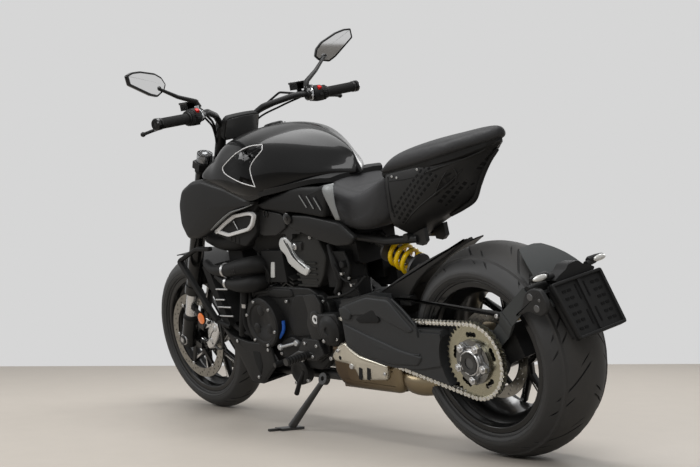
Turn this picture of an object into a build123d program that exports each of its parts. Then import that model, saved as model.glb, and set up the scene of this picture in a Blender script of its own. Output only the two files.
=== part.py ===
from build123d import *
import os
from math import asin, atan2, cos, degrees, floor, pi, radians, sin

# A power cruiser motorcycle, in millimetres.
# Every piece is drawn in the bike's own upright frame: X forward, Y to the rider's left, Z up, with the
# origin on the ground below the rear axle. to_floor() then leans the whole bike onto its side stand.

# ---------------------------------------------------------------- driving dimensions
WHEELBASE = 1593.0
RAKE = radians(26.0)
TRAIL = 112.0
LEAN = radians(12.63)

REAR_TYRE_R = 324.0
REAR_TYRE_W = 240.0
FRONT_TYRE_R = 300.0
FRONT_TYRE_W = 120.0
BEAD_R = 216.0
RIM_FLANGE_R = 228.0
REAR_CROWN_R = 147.0
FRONT_CROWN_R = 66.0

FORK_OFFSET = 31.0
FORK_HALF_SPAN = 105.0
FORK_TUBE_R = 28.0
SLIDER_R = 24.0

FRONT_DISC_R = 165.0
FRONT_DISC_Y = 66.0
REAR_DISC_R = 132.5
REAR_DISC_Y = 60.0
DISC_T = 5.0

CHAIN_PITCH = 15.875
SPROCKET_TEETH = 44
FRONT_SPROCKET_TEETH = 15
CHAIN_Y = 137.0
CHAIN_W = 20.0
CHAIN_BAND = 7.0
ROLLER_R = 4.4
FRONT_SPROCKET = (640.0, 388.0)
SWINGARM_PIVOT = (705.0, 430.0)
SPINDLE_R = 30.0
STEM_R = 16.0
ALTERNATOR = (1020.0, 395.0)

# The stand's pin, its foot on the floor and the way its leg points when folded.
STAND_PIN = Vector(755, 128, 208)
STAND_FOOT = Vector(890, 207.6, 43)
STAND_FOLDED = Vector(-0.93, 0.10, -0.35)

# The front tyre's narrower crown drops less as the bike leans, so its axle is set that much lower.
CROWN_DROP = (REAR_CROWN_R - FRONT_CROWN_R) * (1 - cos(LEAN)) / cos(LEAN)
REAR_AXLE = (0.0, REAR_TYRE_R)
FRONT_AXLE = (WHEELBASE, FRONT_TYRE_R - CROWN_DROP)

parts = {}


# ---------------------------------------------------------------- helpers
def polygon(points):
    return make_face(Polyline(*points, close=True))


def side_plate(outline, y_low, y_high):
    """A plate with its outline in X and Z, from y_low to y_high."""
    face = polygon([(x, y_low, z) for x, z in outline])
    return extrude(face, amount=y_high - y_low, dir=(0, 1, 0))


def box(x, y, z):
    """A box between the pairs x, y and z."""
    size = (x[1] - x[0], y[1] - y[0], z[1] - z[0])
    return Pos(sum(x) / 2, sum(y) / 2, sum(z) / 2) * Box(*size)


ON_START = (Align.CENTER, Align.CENTER, Align.MIN)


def rod(start, end, radius):
    start, end = Vector(*start), Vector(*end)
    along = end - start
    return Plane(start, z_dir=along).location * Cylinder(radius, along.length, align=ON_START)


def cone(start, end, r_start, r_end):
    start, end = Vector(*start), Vector(*end)
    along = end - start
    return Plane(start, z_dir=along).location * Cone(r_start, r_end, along.length, align=ON_START)


def drum(centre, radius, y_low, y_high):
    """A cylinder across the bike, round a centre given in X and Z."""
    return rod((centre[0], y_low, centre[1]), (centre[0], y_high, centre[1]), radius)


def ring(centre, outer, inner, y_low, y_high):
    return drum(centre, outer, y_low, y_high) - drum(centre, inner, y_low - 1, y_high + 1)


def pipe(points, radius, bend):
    """A bar of round section along straight runs joined by arcs."""
    path = FilletPolyline(*points, radius=bend)
    return sweep(Plane(path @ 0, z_dir=path % 0) * Circle(radius), path=path)


def both_sides(piece):
    return piece + mirror(piece, about=Plane.XZ)


def skin(sections):
    """A body lofted through cross-sections along X: each is x and half of its outline, bottom to top."""
    faces = []
    for x, half in sections:
        other = [(-y, z) for y, z in reversed(half) if y > 0]
        faces.append(polygon([(x, y, z) for y, z in half + other]))
    return loft(faces, ruled=True)


def polar(centre, radius, angle):
    """X and Z of a point round a centre; the angle is in degrees, from forward towards up."""
    return centre[0] + radius * cos(radians(angle)), centre[1] + radius * sin(radians(angle))


# The steering frame: local X forwards from the steering axis, Y left, Z up along the axis.
STEERING = Plane(
    origin=(WHEELBASE + TRAIL, 0, 0), x_dir=(cos(RAKE), 0, sin(RAKE)), z_dir=(-sin(RAKE), 0, cos(RAKE))
)


def steer(x, y, z):
    return STEERING.from_local_coords(Vector(x, y, z))


def steer_rod(start, end, radius):
    return rod(steer(*start), steer(*end), radius)


def steer_box(x, y, z):
    return STEERING.location * box(x, y, z)


# Height of the front axle along the steering axis.
AXLE_S = STEERING.to_local_coords(Vector(FRONT_AXLE[0], 0, FRONT_AXLE[1])).Z


# ---------------------------------------------------------------- wheels
def tyre(axle, radius, width, crown_r, rim_half):
    """A tyre as a thick skin turned about its axle: sidewall arcs and one crown arc, open at the beads."""
    wide = width / 2
    shoulder = radius - crown_r + (crown_r**2 - wide**2) ** 0.5
    wall = 12.0
    bead = rim_half - 0.6
    over = rim_half + 8
    lip = RIM_FLANGE_R + 0.6
    bulge = (wide - 2, (lip + shoulder) / 2 + 4)
    outside = [
        Polyline((bead, BEAD_R), (bead, lip), (over, lip)),
        ThreePointArc((over, lip), bulge, (wide, shoulder)),
        ThreePointArc((wide, shoulder), (0, radius), (-wide, shoulder)),
        ThreePointArc((-wide, shoulder), (-bulge[0], bulge[1]), (-over, lip)),
        Polyline((-over, lip), (-bead, lip), (-bead, BEAD_R)),
    ]
    inside = [
        Polyline((-bead, BEAD_R), (wall - bead, BEAD_R), (wall - wide, shoulder - 4)),
        ThreePointArc((wall - wide, shoulder - 4), (0, radius - wall), (wide - wall, shoulder - 4)),
        Polyline((wide - wall, shoulder - 4), (bead - wall, BEAD_R), (bead, BEAD_R)),
    ]
    section = make_face(Curve() + outside + inside)
    turned = revolve(Plane.YZ * section, Axis.Y)
    return Pos(axle[0], 0, axle[1]) * turned


def rim_barrel(axle, half_width, well_r):
    """The rim's barrel: two flanges, two bead seats and a dropped well."""
    edge = half_width + 6
    seat = BEAD_R - 0.2
    outer = [
        (edge, RIM_FLANGE_R),
        (edge - 5, RIM_FLANGE_R),
        (half_width - 0.3, seat + 4),
        (half_width - 0.3, seat),
        (half_width - 22, seat),
        (half_width - 34, well_r + 5),
    ]
    inner = [(half_width - 38, well_r), (half_width - 22, seat - 7), (edge, seat - 7)]
    outline = outer + [(-y, r) for y, r in reversed(outer)]
    outline += [(-y, r) for y, r in reversed(inner)] + inner
    face = make_face(Polyline(*[(0, y, r) for y, r in outline], close=True))
    return Pos(axle[0], 0, axle[1]) * revolve(face, Axis.Y)


def spokes(axle, count, start_angle, hub_r, fork_r, rim_r, spread, y_hub, y_rim, thick):
    """Y-shaped spokes: a stem from the hub that splits in two arms towards the rim."""
    arms = []
    for i in range(count):
        middle = start_angle + 360 / count * i
        stem_in = polar(axle, hub_r, middle)
        stem_out = polar(axle, fork_r, middle)
        arms.append(spoke_bar(stem_in, stem_out, y_hub, (2 * y_hub + y_rim) / 3, 17, 14, thick))
        for side in (-1, 1):
            tip = polar(axle, rim_r, middle + side * spread)
            arms.append(spoke_bar(stem_out, tip, (2 * y_hub + y_rim) / 3, y_rim, 13, 9, thick))
    return arms


def spoke_bar(start, end, y_start, y_end, half_start, half_end, thick):
    """A tapering flat bar between two points given in X and Z, its faces square to Y at each end."""
    along = Vector(end[0] - start[0], 0, end[1] - start[1]).normalized()
    across = Vector(-along.Z, 0, along.X)
    faces = []
    for (x, z), y, half in ((start, y_start, half_start), (end, y_end, half_end)):
        middle = Vector(x, y, z)
        corners = [
            middle + across * half + Vector(0, thick / 2, 0),
            middle - across * half + Vector(0, thick / 2, 0),
            middle - across * half * 0.8 - Vector(0, thick / 2, 0),
            middle + across * half * 0.8 - Vector(0, thick / 2, 0),
        ]
        faces.append(polygon(corners))
    return loft(faces, ruled=True)


def drilled_disc(axle, outer, inner, y, rows, holes):
    """A brake disc with rings of holes, each ring turned a little against the last."""
    disc = ring(axle, outer, inner, y - DISC_T / 2, y + DISC_T / 2)
    cutters = []
    for row, radius in enumerate(rows):
        for i in range(holes):
            angle = 360 / holes * (i + row / len(rows))
            cutters.append(drum(polar(axle, radius, angle), 3.2, y - DISC_T, y + DISC_T))
    return disc - cutters


def disc_carrier(axle, outer, inner, y_low, y_high, arms):
    """The star-shaped carrier that holds a disc's ring."""
    star = ring(axle, inner + 14, inner, y_low, y_high)
    for i in range(arms):
        angle = 360 / arms * i
        tip = polar(axle, outer, angle)
        foot = polar(axle, inner + 8, angle + 14)
        star += spoke_bar(foot, tip, (y_low + y_high) / 2, (y_low + y_high) / 2, 9, 6, y_high - y_low)
    return star - drum(axle, inner, y_low - 1, y_high + 1)


def front_wheel():
    axle = FRONT_AXLE
    axle_r = 12.5
    parts["front_tyre"] = tyre(axle, FRONT_TYRE_R, FRONT_TYRE_W, FRONT_CROWN_R, 42)
    rim = rim_barrel(axle, 42, 190)
    hub = drum(axle, 30, -52, 52)
    rim += [hub] + spokes(axle, 5, 90, 26, 105, 196, 15, 0, 0, 30)
    parts["front_rim"] = rim - drum(axle, axle_r + 0.05, -60, 60)
    disc = drilled_disc(axle, FRONT_DISC_R, 130, FRONT_DISC_Y, (138, 147, 156), 20)
    disc += disc_carrier(axle, 134, 38, 58, FRONT_DISC_Y + 2, 6)
    disc += ring(axle, 52, axle_r + 0.05, 52.2, 64)
    parts["front_discs"] = both_sides(disc)


def sprocket_teeth(centre, teeth, y_low, y_high):
    """A chain wheel: round gullets that seat the rollers, and pointed teeth between them."""
    pitch_r = CHAIN_PITCH / (2 * sin(pi / teeth))
    root = pitch_r - 5.4
    step = 360 / teeth
    outline = []
    for i in range(teeth):
        angle = i * step
        outline.append(polar(centre, root, angle - step * 0.16))
        outline.append(polar(centre, root, angle + step * 0.16))
        outline.append(polar(centre, pitch_r + 1.5, angle + step * 0.42))
        outline.append(polar(centre, pitch_r + 4.5, angle + step * 0.47))
        outline.append(polar(centre, pitch_r + 4.5, angle + step * 0.53))
        outline.append(polar(centre, pitch_r + 1.5, angle + step * 0.58))
    return side_plate(outline, y_low, y_high)


def rear_wheel():
    axle = REAR_AXLE
    parts["rear_tyre"] = tyre(axle, REAR_TYRE_R, REAR_TYRE_W, REAR_CROWN_R, 98)
    rim = rim_barrel(axle, 98, 190)
    hub = drum(axle, 52, -100, 42) - drum(axle, SPINDLE_R, -110, 50)
    rim += [hub] + spokes(axle, 5, 54, 46, 105, 197, 15, -72, -80, 26)
    parts["rear_rim"] = rim - drum(axle, SPINDLE_R, -110, 50)
    disc = drilled_disc(axle, REAR_DISC_R, 98, REAR_DISC_Y, (106, 115, 124), 18)
    carrier = disc_carrier(axle, 102, 46, REAR_DISC_Y - 6, REAR_DISC_Y + 4, 6)
    parts["rear_disc"] = disc + carrier + ring(axle, 50, SPINDLE_R, 42.2, REAR_DISC_Y)
    # The live spindle carries the wheel on the right and the chain wheel on the left.
    spindle = drum(axle, SPINDLE_R, -112, 166) - drum(axle, 17, 100, 170) - drum(axle, 17, -120, -60)
    spindle += ring(axle, 44, SPINDLE_R - 1, -112, -100.2)
    parts["rear_axle"] = spindle
    wheel = sprocket_teeth(axle, SPROCKET_TEETH, CHAIN_Y - 3.5, CHAIN_Y + 3.5)
    windows = []
    for i in range(5):
        for slot in (-9, 0, 9):
            windows.append(drum(polar(axle, 80, 72 * i + 18 + slot), 8, CHAIN_Y - 10, CHAIN_Y + 10))
    wheel -= windows
    carrier = ring(axle, 66, SPINDLE_R, CHAIN_Y - 9, CHAIN_Y + 14)
    nuts = [drum(polar(axle, 52, 72 * i + 54), 9, CHAIN_Y + 10, CHAIN_Y + 24) for i in range(5)]
    parts["sprocket"] = (wheel + [carrier] + nuts) - drum(axle, SPINDLE_R, 100, 180)


# ---------------------------------------------------------------- fork, bars and what they carry
def fork():
    legs, sliders = [], []
    foot_s = AXLE_S
    for side in (-1, 1):
        y = side * FORK_HALF_SPAN
        slider_low, slider_high, top = foot_s + 95, foot_s + 200, 1092.0
        outer = steer_rod((FORK_OFFSET, y, slider_high + 0.2), (FORK_OFFSET, y, top), FORK_TUBE_R)
        outer += steer_rod(
            (FORK_OFFSET, y, slider_high + 0.2), (FORK_OFFSET, y, slider_high + 34), FORK_TUBE_R + 4
        )
        foot = steer_rod((FORK_OFFSET, y, foot_s - 26), (FORK_OFFSET, y, slider_low - 0.2), SLIDER_R + 5)
        # The foot's lug reaches back to the caliper's two bolts.
        lug = steer_box((-50, FORK_OFFSET), sorted((y, y - side * 12)), (foot_s - 6, foot_s + 14))
        lug += steer_box((-50, FORK_OFFSET), sorted((y, y - side * 12)), (foot_s + 76, foot_s + 94))
        bore = drum(FRONT_AXLE, 12.5, -170, 170)
        legs.append((foot + lug) - bore)
        legs.append(outer)
        sliders.append(steer_rod((FORK_OFFSET, y, slider_low), (FORK_OFFSET, y, slider_high), SLIDER_R))
    parts["fork_legs"] = legs[0] + legs[1:]
    parts["fork_sliders"] = sliders[0] + sliders[1:]
    axle = drum(FRONT_AXLE, 12.5, -140, 140) - drum(FRONT_AXLE, 8, 60, 150) - drum(
        FRONT_AXLE, 8, -150, -60
    )
    spacers = [ring(FRONT_AXLE, 20, 12.4, *sorted((side * 64.4, side * 74.0))) for side in (-1, 1)]
    ends = [ring(FRONT_AXLE, 17, 12.4, *sorted((side * 134.5, side * 140))) for side in (-1, 1)]
    parts["front_axle"] = axle + spacers + ends


CLAMP_LOW = (800.0, 838.0)
CLAMP_HIGH = (1034.0, 1060.0)


def triple_clamps():
    clamp = None
    for low, high in (CLAMP_LOW, CLAMP_HIGH):
        outline = [
            (-26, 45), (-26, -45), (12, -140), (52, -140), (62, -105), (46, 0), (62, 105), (52, 140),
            (12, 140)
        ]
        face = polygon([STEERING.from_local_coords(Vector(x, y, low)) for x, y in outline])
        slab = extrude(face, amount=high - low, dir=STEERING.z_dir)
        for side in (-1, 1):
            y = side * FORK_HALF_SPAN
            slab -= steer_rod((FORK_OFFSET, y, low - 5), (FORK_OFFSET, y, high + 5), FORK_TUBE_R + 0.02)
        clamp = slab if clamp is None else clamp + slab
    stem = steer_rod((0, 0, CLAMP_LOW[0]), (0, 0, CLAMP_HIGH[1] + 12), STEM_R)
    parts["triple_clamps"] = clamp + stem


BAR_R = 11.0
GRIP_R = 17.0
BAR_MIDDLE = Vector(1198, 0, 1078)
BAR_KNEE = Vector(1062, 190, 1142)
GRIP_IN = Vector(1022, 296, 1134)
BAR_END = Vector(1008, 424, 1135)


def mirrored(point):
    return Vector(point.X, -point.Y, point.Z)


def bars():
    half = [BAR_MIDDLE, Vector(1195, 52, 1080), Vector(1146, 104, 1122), BAR_KNEE, GRIP_IN, BAR_END]
    points = [mirrored(v) for v in reversed(half[1:])] + half[1:]
    bar = pipe(points, BAR_R, 40)
    along = (BAR_END - GRIP_IN).normalized()
    side = rod(GRIP_IN, BAR_END, GRIP_R)
    side += rod(GRIP_IN, GRIP_IN + along * 6, GRIP_R + 5)
    side += rod(BAR_END - along * 8, BAR_END + along * 12, GRIP_R - 3)
    # A riser stands on the upper clamp along the steering axis and holds the bar.
    middle = STEERING.to_local_coords(BAR_MIDDLE)
    riser = steer_rod((middle.X, 50, CLAMP_HIGH[1]), (middle.X, 50, middle.Z), 19)
    riser += steer_rod((middle.X, 36, middle.Z), (middle.X, 64, middle.Z), 22)
    parts["handlebar"] = bar + both_sides(side) + both_sides(riser)


def hand_controls():
    """Switch housing, lever perch, pump, reservoir and lever: the left side, then its mirror image."""
    back = (BAR_KNEE - GRIP_IN).normalized()
    outer = BAR_END
    piece = rod(GRIP_IN + back * 1, GRIP_IN + back * 46, 25)
    piece += rod(GRIP_IN + back * 44, GRIP_IN + back * 56, 17)
    piece += rod(GRIP_IN + back * 54, GRIP_IN + back * 74, 20)
    pump_out = GRIP_IN + back * 4 + Vector(38, 0, 2)
    pump_in = GRIP_IN + back * 72 + Vector(30, 0, 4)
    piece += rod(pump_out, pump_in, 12)
    perch = GRIP_IN + back * 64
    piece += rod(perch, perch + Vector(32, 0, 4), 9)
    lever_root = GRIP_IN + back * 12 + Vector(44, 0, 0)
    tip = outer + Vector(96, 4, -27)
    piece += pipe([lever_root, lever_root - back * 30 + Vector(22, 0, -4), tip], 5.5, 20)
    piece += Pos(tip) * Sphere(8)
    tank = Pos(perch.X + 50, perch.Y, perch.Z + 33) * Box(44, 45, 24)
    piece += [tank, rod(perch + Vector(38, 0, 2), perch + Vector(50, 0, 24), 8)]
    parts["hand_controls"] = both_sides(piece)


def mirrors():
    """Each mirror stands on its lever's perch; its ball joint lets its head tilt."""
    perch = GRIP_IN + (BAR_KNEE - GRIP_IN).normalized() * 64
    outline = [
        (-82, 40), (-56, 47), (-20, 46), (42, 32), (70, 15), (84, -10), (72, -30), (36, -47), (6, -38),
        (-78, 6)
    ]
    pieces = Part()
    for side, height, tilt, turn in ((1, 1268, 0, 12), (-1, 1290, -17, -20)):
        foot = Vector(perch.X, side * perch.Y, perch.Z)
        middle = Vector(1062, side * 405, height)
        ball = middle + Vector(10, side * -48, -20).rotate(Axis.X, tilt)
        piece = rod(foot + Vector(0, 0, 16), foot + Vector(0, 0, 34), 9)
        piece += pipe([foot + Vector(0, 0, 30), foot + Vector(4, side * 12, 60), ball], 6.5, 12)
        face = polygon([(0, -side * y, z) for y, z in outline])
        pieces += piece + Pos(middle) * Rot(tilt, 0, turn) * extrude(face, amount=16, dir=(1, 0, 0))
    parts["mirrors"] = pieces


def display():
    """The instrument's housing behind the bar, on an arm from the upper clamp."""
    screen = steer_box((-34, -13), (-72, 72), (1158, 1248))
    parts["display"] = screen + steer_box((-26, -18), (-24, 24), (CLAMP_HIGH[1], 1170))


def headlight():
    face_points = [(72, 50), (138, 58), (150, 34), (150, -34), (138, -58), (72, -50)]
    low, high = 870.0, 968.0
    face = polygon([STEERING.from_local_coords(Vector(x, y, low)) for x, y in face_points])
    lamp = extrude(face, amount=high - low, dir=STEERING.z_dir)
    bracket = steer_box((20, 76), (-30, 30), (CLAMP_HIGH[1], CLAMP_HIGH[1] + 6))
    bracket += steer_box((70, 76), (-30, 30), (960, CLAMP_HIGH[1] + 6))
    parts["headlight"] = lamp + bracket


def front_mudguard():
    """An arched sheet close over the front tyre, held by a stay at each fork leg."""
    gap, sheet, half = 14.0, 4.0, 66.0
    arch = ring(FRONT_AXLE, FRONT_TYRE_R + gap + sheet, FRONT_TYRE_R + gap, -half, half)
    start, end = 82.0, 128.0
    reach = FRONT_TYRE_R * 2
    rays = [polar(FRONT_AXLE, reach, start + (end - start) / 3 * i) for i in range(4)]
    arch &= side_plate([FRONT_AXLE] + rays, -half, half)
    stays = []
    for side in (-1, 1):
        y = sorted((side * (half - 4), side * (half + 14)))
        stays.append(steer_box((FORK_OFFSET - 24, FORK_OFFSET + 24), y, (AXLE_S + 240, AXLE_S + 318)))
    parts["front_mudguard"] = arch + stays


def front_calipers():
    """Radial calipers behind the fork legs, each with an open slot for its disc."""
    body = steer_box((-160, -50.2), (30, 108), (AXLE_S - 10, AXLE_S + 104)) & drum(
        FRONT_AXLE, 194, 20, 120
    )
    slot = drum(FRONT_AXLE, FRONT_DISC_R + 6, FRONT_DISC_Y - 9, FRONT_DISC_Y + 9)
    spoke_room = drum(FRONT_AXLE, FRONT_DISC_R - 45, 0, 130)
    parts["front_calipers"] = both_sides(body - slot - spoke_room)


HOSE_R = 4.0


def brake_hoses():
    """Hoses from the right lever's pump down to both calipers, all on the steered side."""
    start = mirrored(GRIP_IN + (BAR_KNEE - GRIP_IN).normalized() * 72 + Vector(30, 0, 4))
    first = STEERING.to_local_coords(start)
    route = [
        (first.X, first.Y + 0.2, first.Z), (10, -190, 1286), (72, -140, 1190), (88, -100, 1080),
        (86, -95, 960)
    ]
    down = [
        (80, -88, 840), (76, -84, 720), (70, -76, 590), (40, -70, 500), (-20, -72, 486), (-66, -84, 462)
    ]
    last = (-80, -88, AXLE_S + 104.2)
    hoses = pipe([steer(*p) for p in route + down + [last]], HOSE_R, 20)
    cross = [(82, -88, 860), (84, -40, 862), (84, 40, 862), (80, 84, 820)]
    other = [(x, -y, z) for x, y, z in down[1:] + [last]]
    hoses += pipe([steer(*p) for p in cross + other], HOSE_R, 20)
    parts["brake_hoses"] = hoses


# ---------------------------------------------------------------- frame and engine
def front_frame():
    head = steer_rod((0, 0, CLAMP_LOW[1] + 4), (0, 0, CLAMP_HIGH[0] - 4), 34)
    head -= steer_rod((0, 0, CLAMP_LOW[1]), (0, 0, CLAMP_HIGH[0]), STEM_R + 0.08)
    spine = side_plate(
        [(1250, 880), (1238, 902), (1190, 900), (1000, 890), (820, 850), (800, 800), (1000, 800)], -70,
        70
    )
    # A cheek plate on each side runs from the spine down to the rear cylinder.
    cheek = side_plate(
        [(1150, 836), (1120, 862), (860, 832), (700, 740), (730, 706), (850, 706), (1000, 780)], 128,
        142
    )
    cheek += drum((790, 702), 18, 126.1, 142)
    ties = box((840, 900), (-142, 142), (802, 830)) + box((1090, 1140), (-142, 142), (830, 856))
    frame = (spine + both_sides(cheek) + ties) - steer_rod((0, 0, 820), (0, 0, 1060), 32)
    parts["front_frame"] = frame + head


def engine():
    outline = [
        (1080, 330), (1110, 420), (1080, 500), (980, 520), (760, 520), (670, 470), (670, 300),
        (760, 230), (1000, 230)
    ]
    case = side_plate(outline, -118, 118)
    # The gearbox output carries the small chain wheel.
    case += box((600, 672), (90, 118), (350, 426)) + drum(FRONT_SPROCKET, 12, 117, 141)
    case += drum(FRONT_SPROCKET, 31, CHAIN_Y - 3.5, CHAIN_Y + 3.5)
    parts["crankcase"] = case + stand_bracket()
    rear = [(700, 520.4), (900, 520.4), (880, 600), (860, 704), (660, 704), (640, 620)]
    front = [(1085, 500.5), (1110.5, 420), (1172, 440), (1165, 550), (1100, 590), (1000, 575), (985, 521)]
    parts["cylinder_heads"] = side_plate(rear, -126, 126) + side_plate(front, -110, 110)
    alternator = drum(ALTERNATOR, 88, 118.2, 158)
    clutch = drum((900, 420), 95, -168, -118.2)
    front_cover = drum(FRONT_SPROCKET, 50, 156, 170)
    front_cover += box((690, 700), (118.2, 170), (372, 404)) + box((640, 700), (156, 170), (372, 404))
    pump = drum((880, 226), 47, 118.2, 138)
    parts["engine_covers"] = alternator + [clutch, front_cover, pump]


def radiator():
    core = Pos(1280, 0, 482) * Rot(0, 20, 0) * Box(36, 290, 236)
    bar = side_plate([(1466, 611), (1452, 622), (1274, 398), (1288, 386)], 160, 174)
    bar += side_plate([(1466, 611), (1452, 622), (1330, 664), (1240, 664), (1240, 652), (1330, 652)], 160, 174)
    bar += side_plate([(1288, 386), (1274, 398), (1230, 398), (1230, 386)], 140, 174)
    # The two thick coolant elbows on the left join the core to the front cylinder.
    elbows = pipe(
        [(1290, 150, 560), (1240, 168, 580), (1130, 168, 592), (1060, 160, 590), (1040, 110.4, 560)],
        26, 34
    )
    elbows += pipe([(1225, 150, 500), (1180, 168, 520), (1110, 164, 530), (1090, 110.4, 530)], 24, 30)
    parts["radiator"] = core + both_sides(bar) + elbows


def belly_pan():
    """A chin fairing open at its back: two sides, a floor and a sloped front."""
    outline = [(1286, 380), (1215, 336), (1130, 322), (1000, 320), (985, 245), (1080, 172), (1150, 172)]
    outline += [(1212, 282)]
    side = side_plate(outline, 144, 152) - drum(ALTERNATOR, 90, 140, 160)
    floor = side_plate(
        [
            (1080, 172), (1150, 172), (1212, 282), (1286, 380),
            (1274, 380), (1204, 288), (1146, 180), (1080, 180),
        ],
        -150, 150
    )
    parts["belly_pan"] = floor + both_sides(side)


def exhaust():
    front = [
        (1169.5, 60, 480), (1200, 60, 470), (1208, 60, 420), (1188, 60, 300), (1120, 60, 205),
        (660.2, 60, 205)
    ]
    header = pipe(front, 20, 34)
    rear = pipe([(652, -10, 640), (618, -10, 624), (628, -10, 560), (628, -10, 330)], 22, 18)
    parts["exhaust_headers"] = both_sides(header) + rear
    box_outline = [(660, 188), (660, 340), (600, 350), (520, 300), (350, 286), (350, 196), (400, 188)]
    silencer = side_plate(box_outline, -118, 118)
    shield_outline = [
        (604, 342), (570, 352), (548, 336), (504, 313), (439, 301), (374, 289), (398, 238), (512, 226)
    ]
    shield_outline += [(577, 226), (590, 300)]
    silencer += side_plate(shield_outline, 150, 156) + box((460, 560), (110, 152), (236, 262))
    # The pipe crosses ahead of the rear tyre to the muffler on the right.
    silencer += pipe(
        [(480, 74, 222), (412, 58, 214), (374, 8, 224), (366, -90, 250), (364, -176, 270), (320, -196, 286)],
        28, 30
    )
    silencer += cone((352, -194.4, 280), (280, -196, 292), 36, 60) + rod(
        (280, -196, 292), (100, -200, 322), 60
    )
    ends = [(dy, dz) for dy in (-25, 25) for dz in (-25, 25)]
    tips = [rod((106, -200 + dy, 321 + dz), (40, -202 + dy, 334 + dz), 21) for dy, dz in ends]
    holes = [rod((60, -201.4 + dy, 330 + dz), (38, -202.2 + dy, 334.4 + dz), 17) for dy, dz in ends]
    parts["exhaust_silencer"] = silencer + tips - holes


# ---------------------------------------------------------------- bodywork
def fuel_tank():
    tank = skin(
        [
            (1172, [(0, 903), (130, 903), (182, 913), (188, 928), (100, 962), (0, 970)]),
            (1110, [(0, 885), (140, 885), (192, 897), (194, 930), (120, 992), (0, 1008)]),
            (1050, [(0, 868), (148, 868), (198, 884), (198, 946), (120, 1022), (0, 1044)]),
            (900, [(0, 842), (150, 842), (201, 850), (202, 934), (124, 1036), (0, 1062)]),
            (820, [(0, 846), (150, 848), (188, 856), (186, 936), (110, 1024), (0, 1056)]),
            (740, [(0, 858), (130, 860), (150, 866), (148, 930), (84, 1004), (0, 1038)]),
            (660, [(0, 872), (90, 874), (106, 880), (104, 912), (54, 976), (0, 1010)]),
            (600, [(0, 874), (56, 876), (66, 882), (64, 912), (26, 956), (0, 972)]),
            (548, [(0, 875), (16, 877), (22, 882), (20, 900), (8, 922), (0, 930)]),
        ]
    )
    parts["fuel_tank"] = tank - steer_rod((0, 0, 1170), (0, 0, 1330), 88)


def air_scoops():
    """A hollow-fronted scoop beside the tank, with a vent block and a dark panel under it."""
    outline = [(1355, 746), (1358, 778), (1345, 841), (1317, 876), (1260, 898), (1197, 916), (1178, 909)]
    outline += [(1095, 884), (890, 822), (1045, 791), (1165, 727), (1336, 702)]
    side = side_plate(outline, 166.5, 200) - side_plate(
        [(1372, 765), (1372, 850), (1230, 862), (1200, 800)], 173, 193
    )
    side += side_plate(
        [(1174, 734), (1045, 769), (943, 775), (899, 759), (994, 715), (1070, 710)], 156, 184
    )
    under = [(1211, 722), (1109, 687), (1012, 666), (940, 716), (925, 790), (893, 820), (1045, 795)]
    parts["air_scoops"] = both_sides(side + side_plate(under, 150, 168))


def side_panels():
    outline = [
        (910, 812), (824, 838), (724, 860), (657, 868), (560, 868), (505, 862), (543, 840), (473, 745)
    ]
    outline += [(524, 752), (758, 771), (900, 797)]
    low = [(748, 776), (640, 770), (500, 748), (425, 692), (455, 671), (525, 668), (612, 687), (750, 728)]
    parts["side_panels"] = both_sides(side_plate(outline, 142.6, 172) + side_plate(low, 142.6, 160))


def seats():
    rider = skin(
        [
            (640, [(0, 790), (90, 790), (120, 800), (118, 852), (80, 866), (0, 868)]),
            (545, [(0, 740), (100, 740), (140, 770), (136, 830), (90, 852), (0, 856)]),
            (470, [(0, 720), (100, 720), (141, 740), (138, 800), (90, 822), (0, 826)]),
            (380, [(0, 720), (100, 720), (136, 735), (132, 810), (90, 834), (0, 838)]),
            (300, [(0, 740), (90, 740), (122, 760), (116, 850), (80, 870), (0, 874)]),
        ]
    )
    parts["rider_seat"] = rider - box((500, 760), (-160, 160), (868, 1000))
    pillion = skin(
        [
            (318, [(0, 879), (90, 879), (106, 883), (100, 889), (60, 894), (0, 896)]),
            (280, [(0, 885), (92, 885), (112, 890), (108, 908), (66, 926), (0, 930)]),
            (150, [(0, 902), (92, 902), (112, 908), (106, 930), (66, 954), (0, 958)]),
            (0, [(0, 928), (76, 928), (94, 934), (90, 952), (56, 970), (0, 976)]),
            (-60, [(0, 940), (42, 940), (58, 945), (56, 962), (38, 976), (0, 982)]),
            (-102, [(0, 950), (12, 950), (18, 954), (17, 968), (11, 976), (0, 980)]),
        ]
    )
    parts["passenger_seat"] = pillion


def tail_fairing():
    parts["tail_fairing"] = skin(
        [
            (286, [(0, 664), (50, 692), (108, 742), (116, 800), (104, 876), (0, 878)]),
            (205, [(0, 709), (36, 722), (94, 766), (112, 816), (104, 886), (0, 890)]),
            (132, [(0, 741), (34, 758), (84, 800), (106, 838), (102, 896), (0, 900)]),
            (36, [(0, 787), (24, 826), (60, 864), (82, 886), (80, 911), (0, 916)]),
            (-6, [(0, 845), (20, 866), (44, 892), (60, 906), (60, 918), (0, 924)]),
            (-70, [(0, 909), (12, 920), (22, 928), (32, 932), (32, 936), (0, 938)]),
            (-102, [(0, 936), (3, 937), (5, 938), (7, 939), (7, 942), (0, 944)]),
        ]
    )


def rear_subframe():
    side = pipe(
        [(760, 112.8, 724), (690, 112.8, 720), (520, 96, 690), (390, 66, 664), (262, 46, 668)], 13, 50
    )
    # A lug at the rails' ends carries the passenger's pegs, and a bracket holds the shock absorber's eye.
    side += side_plate([(280, 684), (228, 700), (226, 660), (244, 646), (272, 650)], 34, 50)
    side += side_plate([(572, 706), (548, 706), (500, 664), (512, 646), (536, 650)], 23, 31)
    cross = [rod((x, -y, z), (x, y, z), 12) for x, y, z in ((560, 98, 697), (300, 66, 675))]
    pin = rod(SHOCK_TOP - Vector(0, 31, 0), SHOCK_TOP + Vector(0, 31, 0), 6)
    parts["rear_subframe"] = both_sides(side) + cross + [pin]


# ---------------------------------------------------------------- rear suspension and drive
SHOCK_TOP = Vector(520, 0, 664)
SHOCK_LOW = Vector(300, 0, 549)


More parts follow.
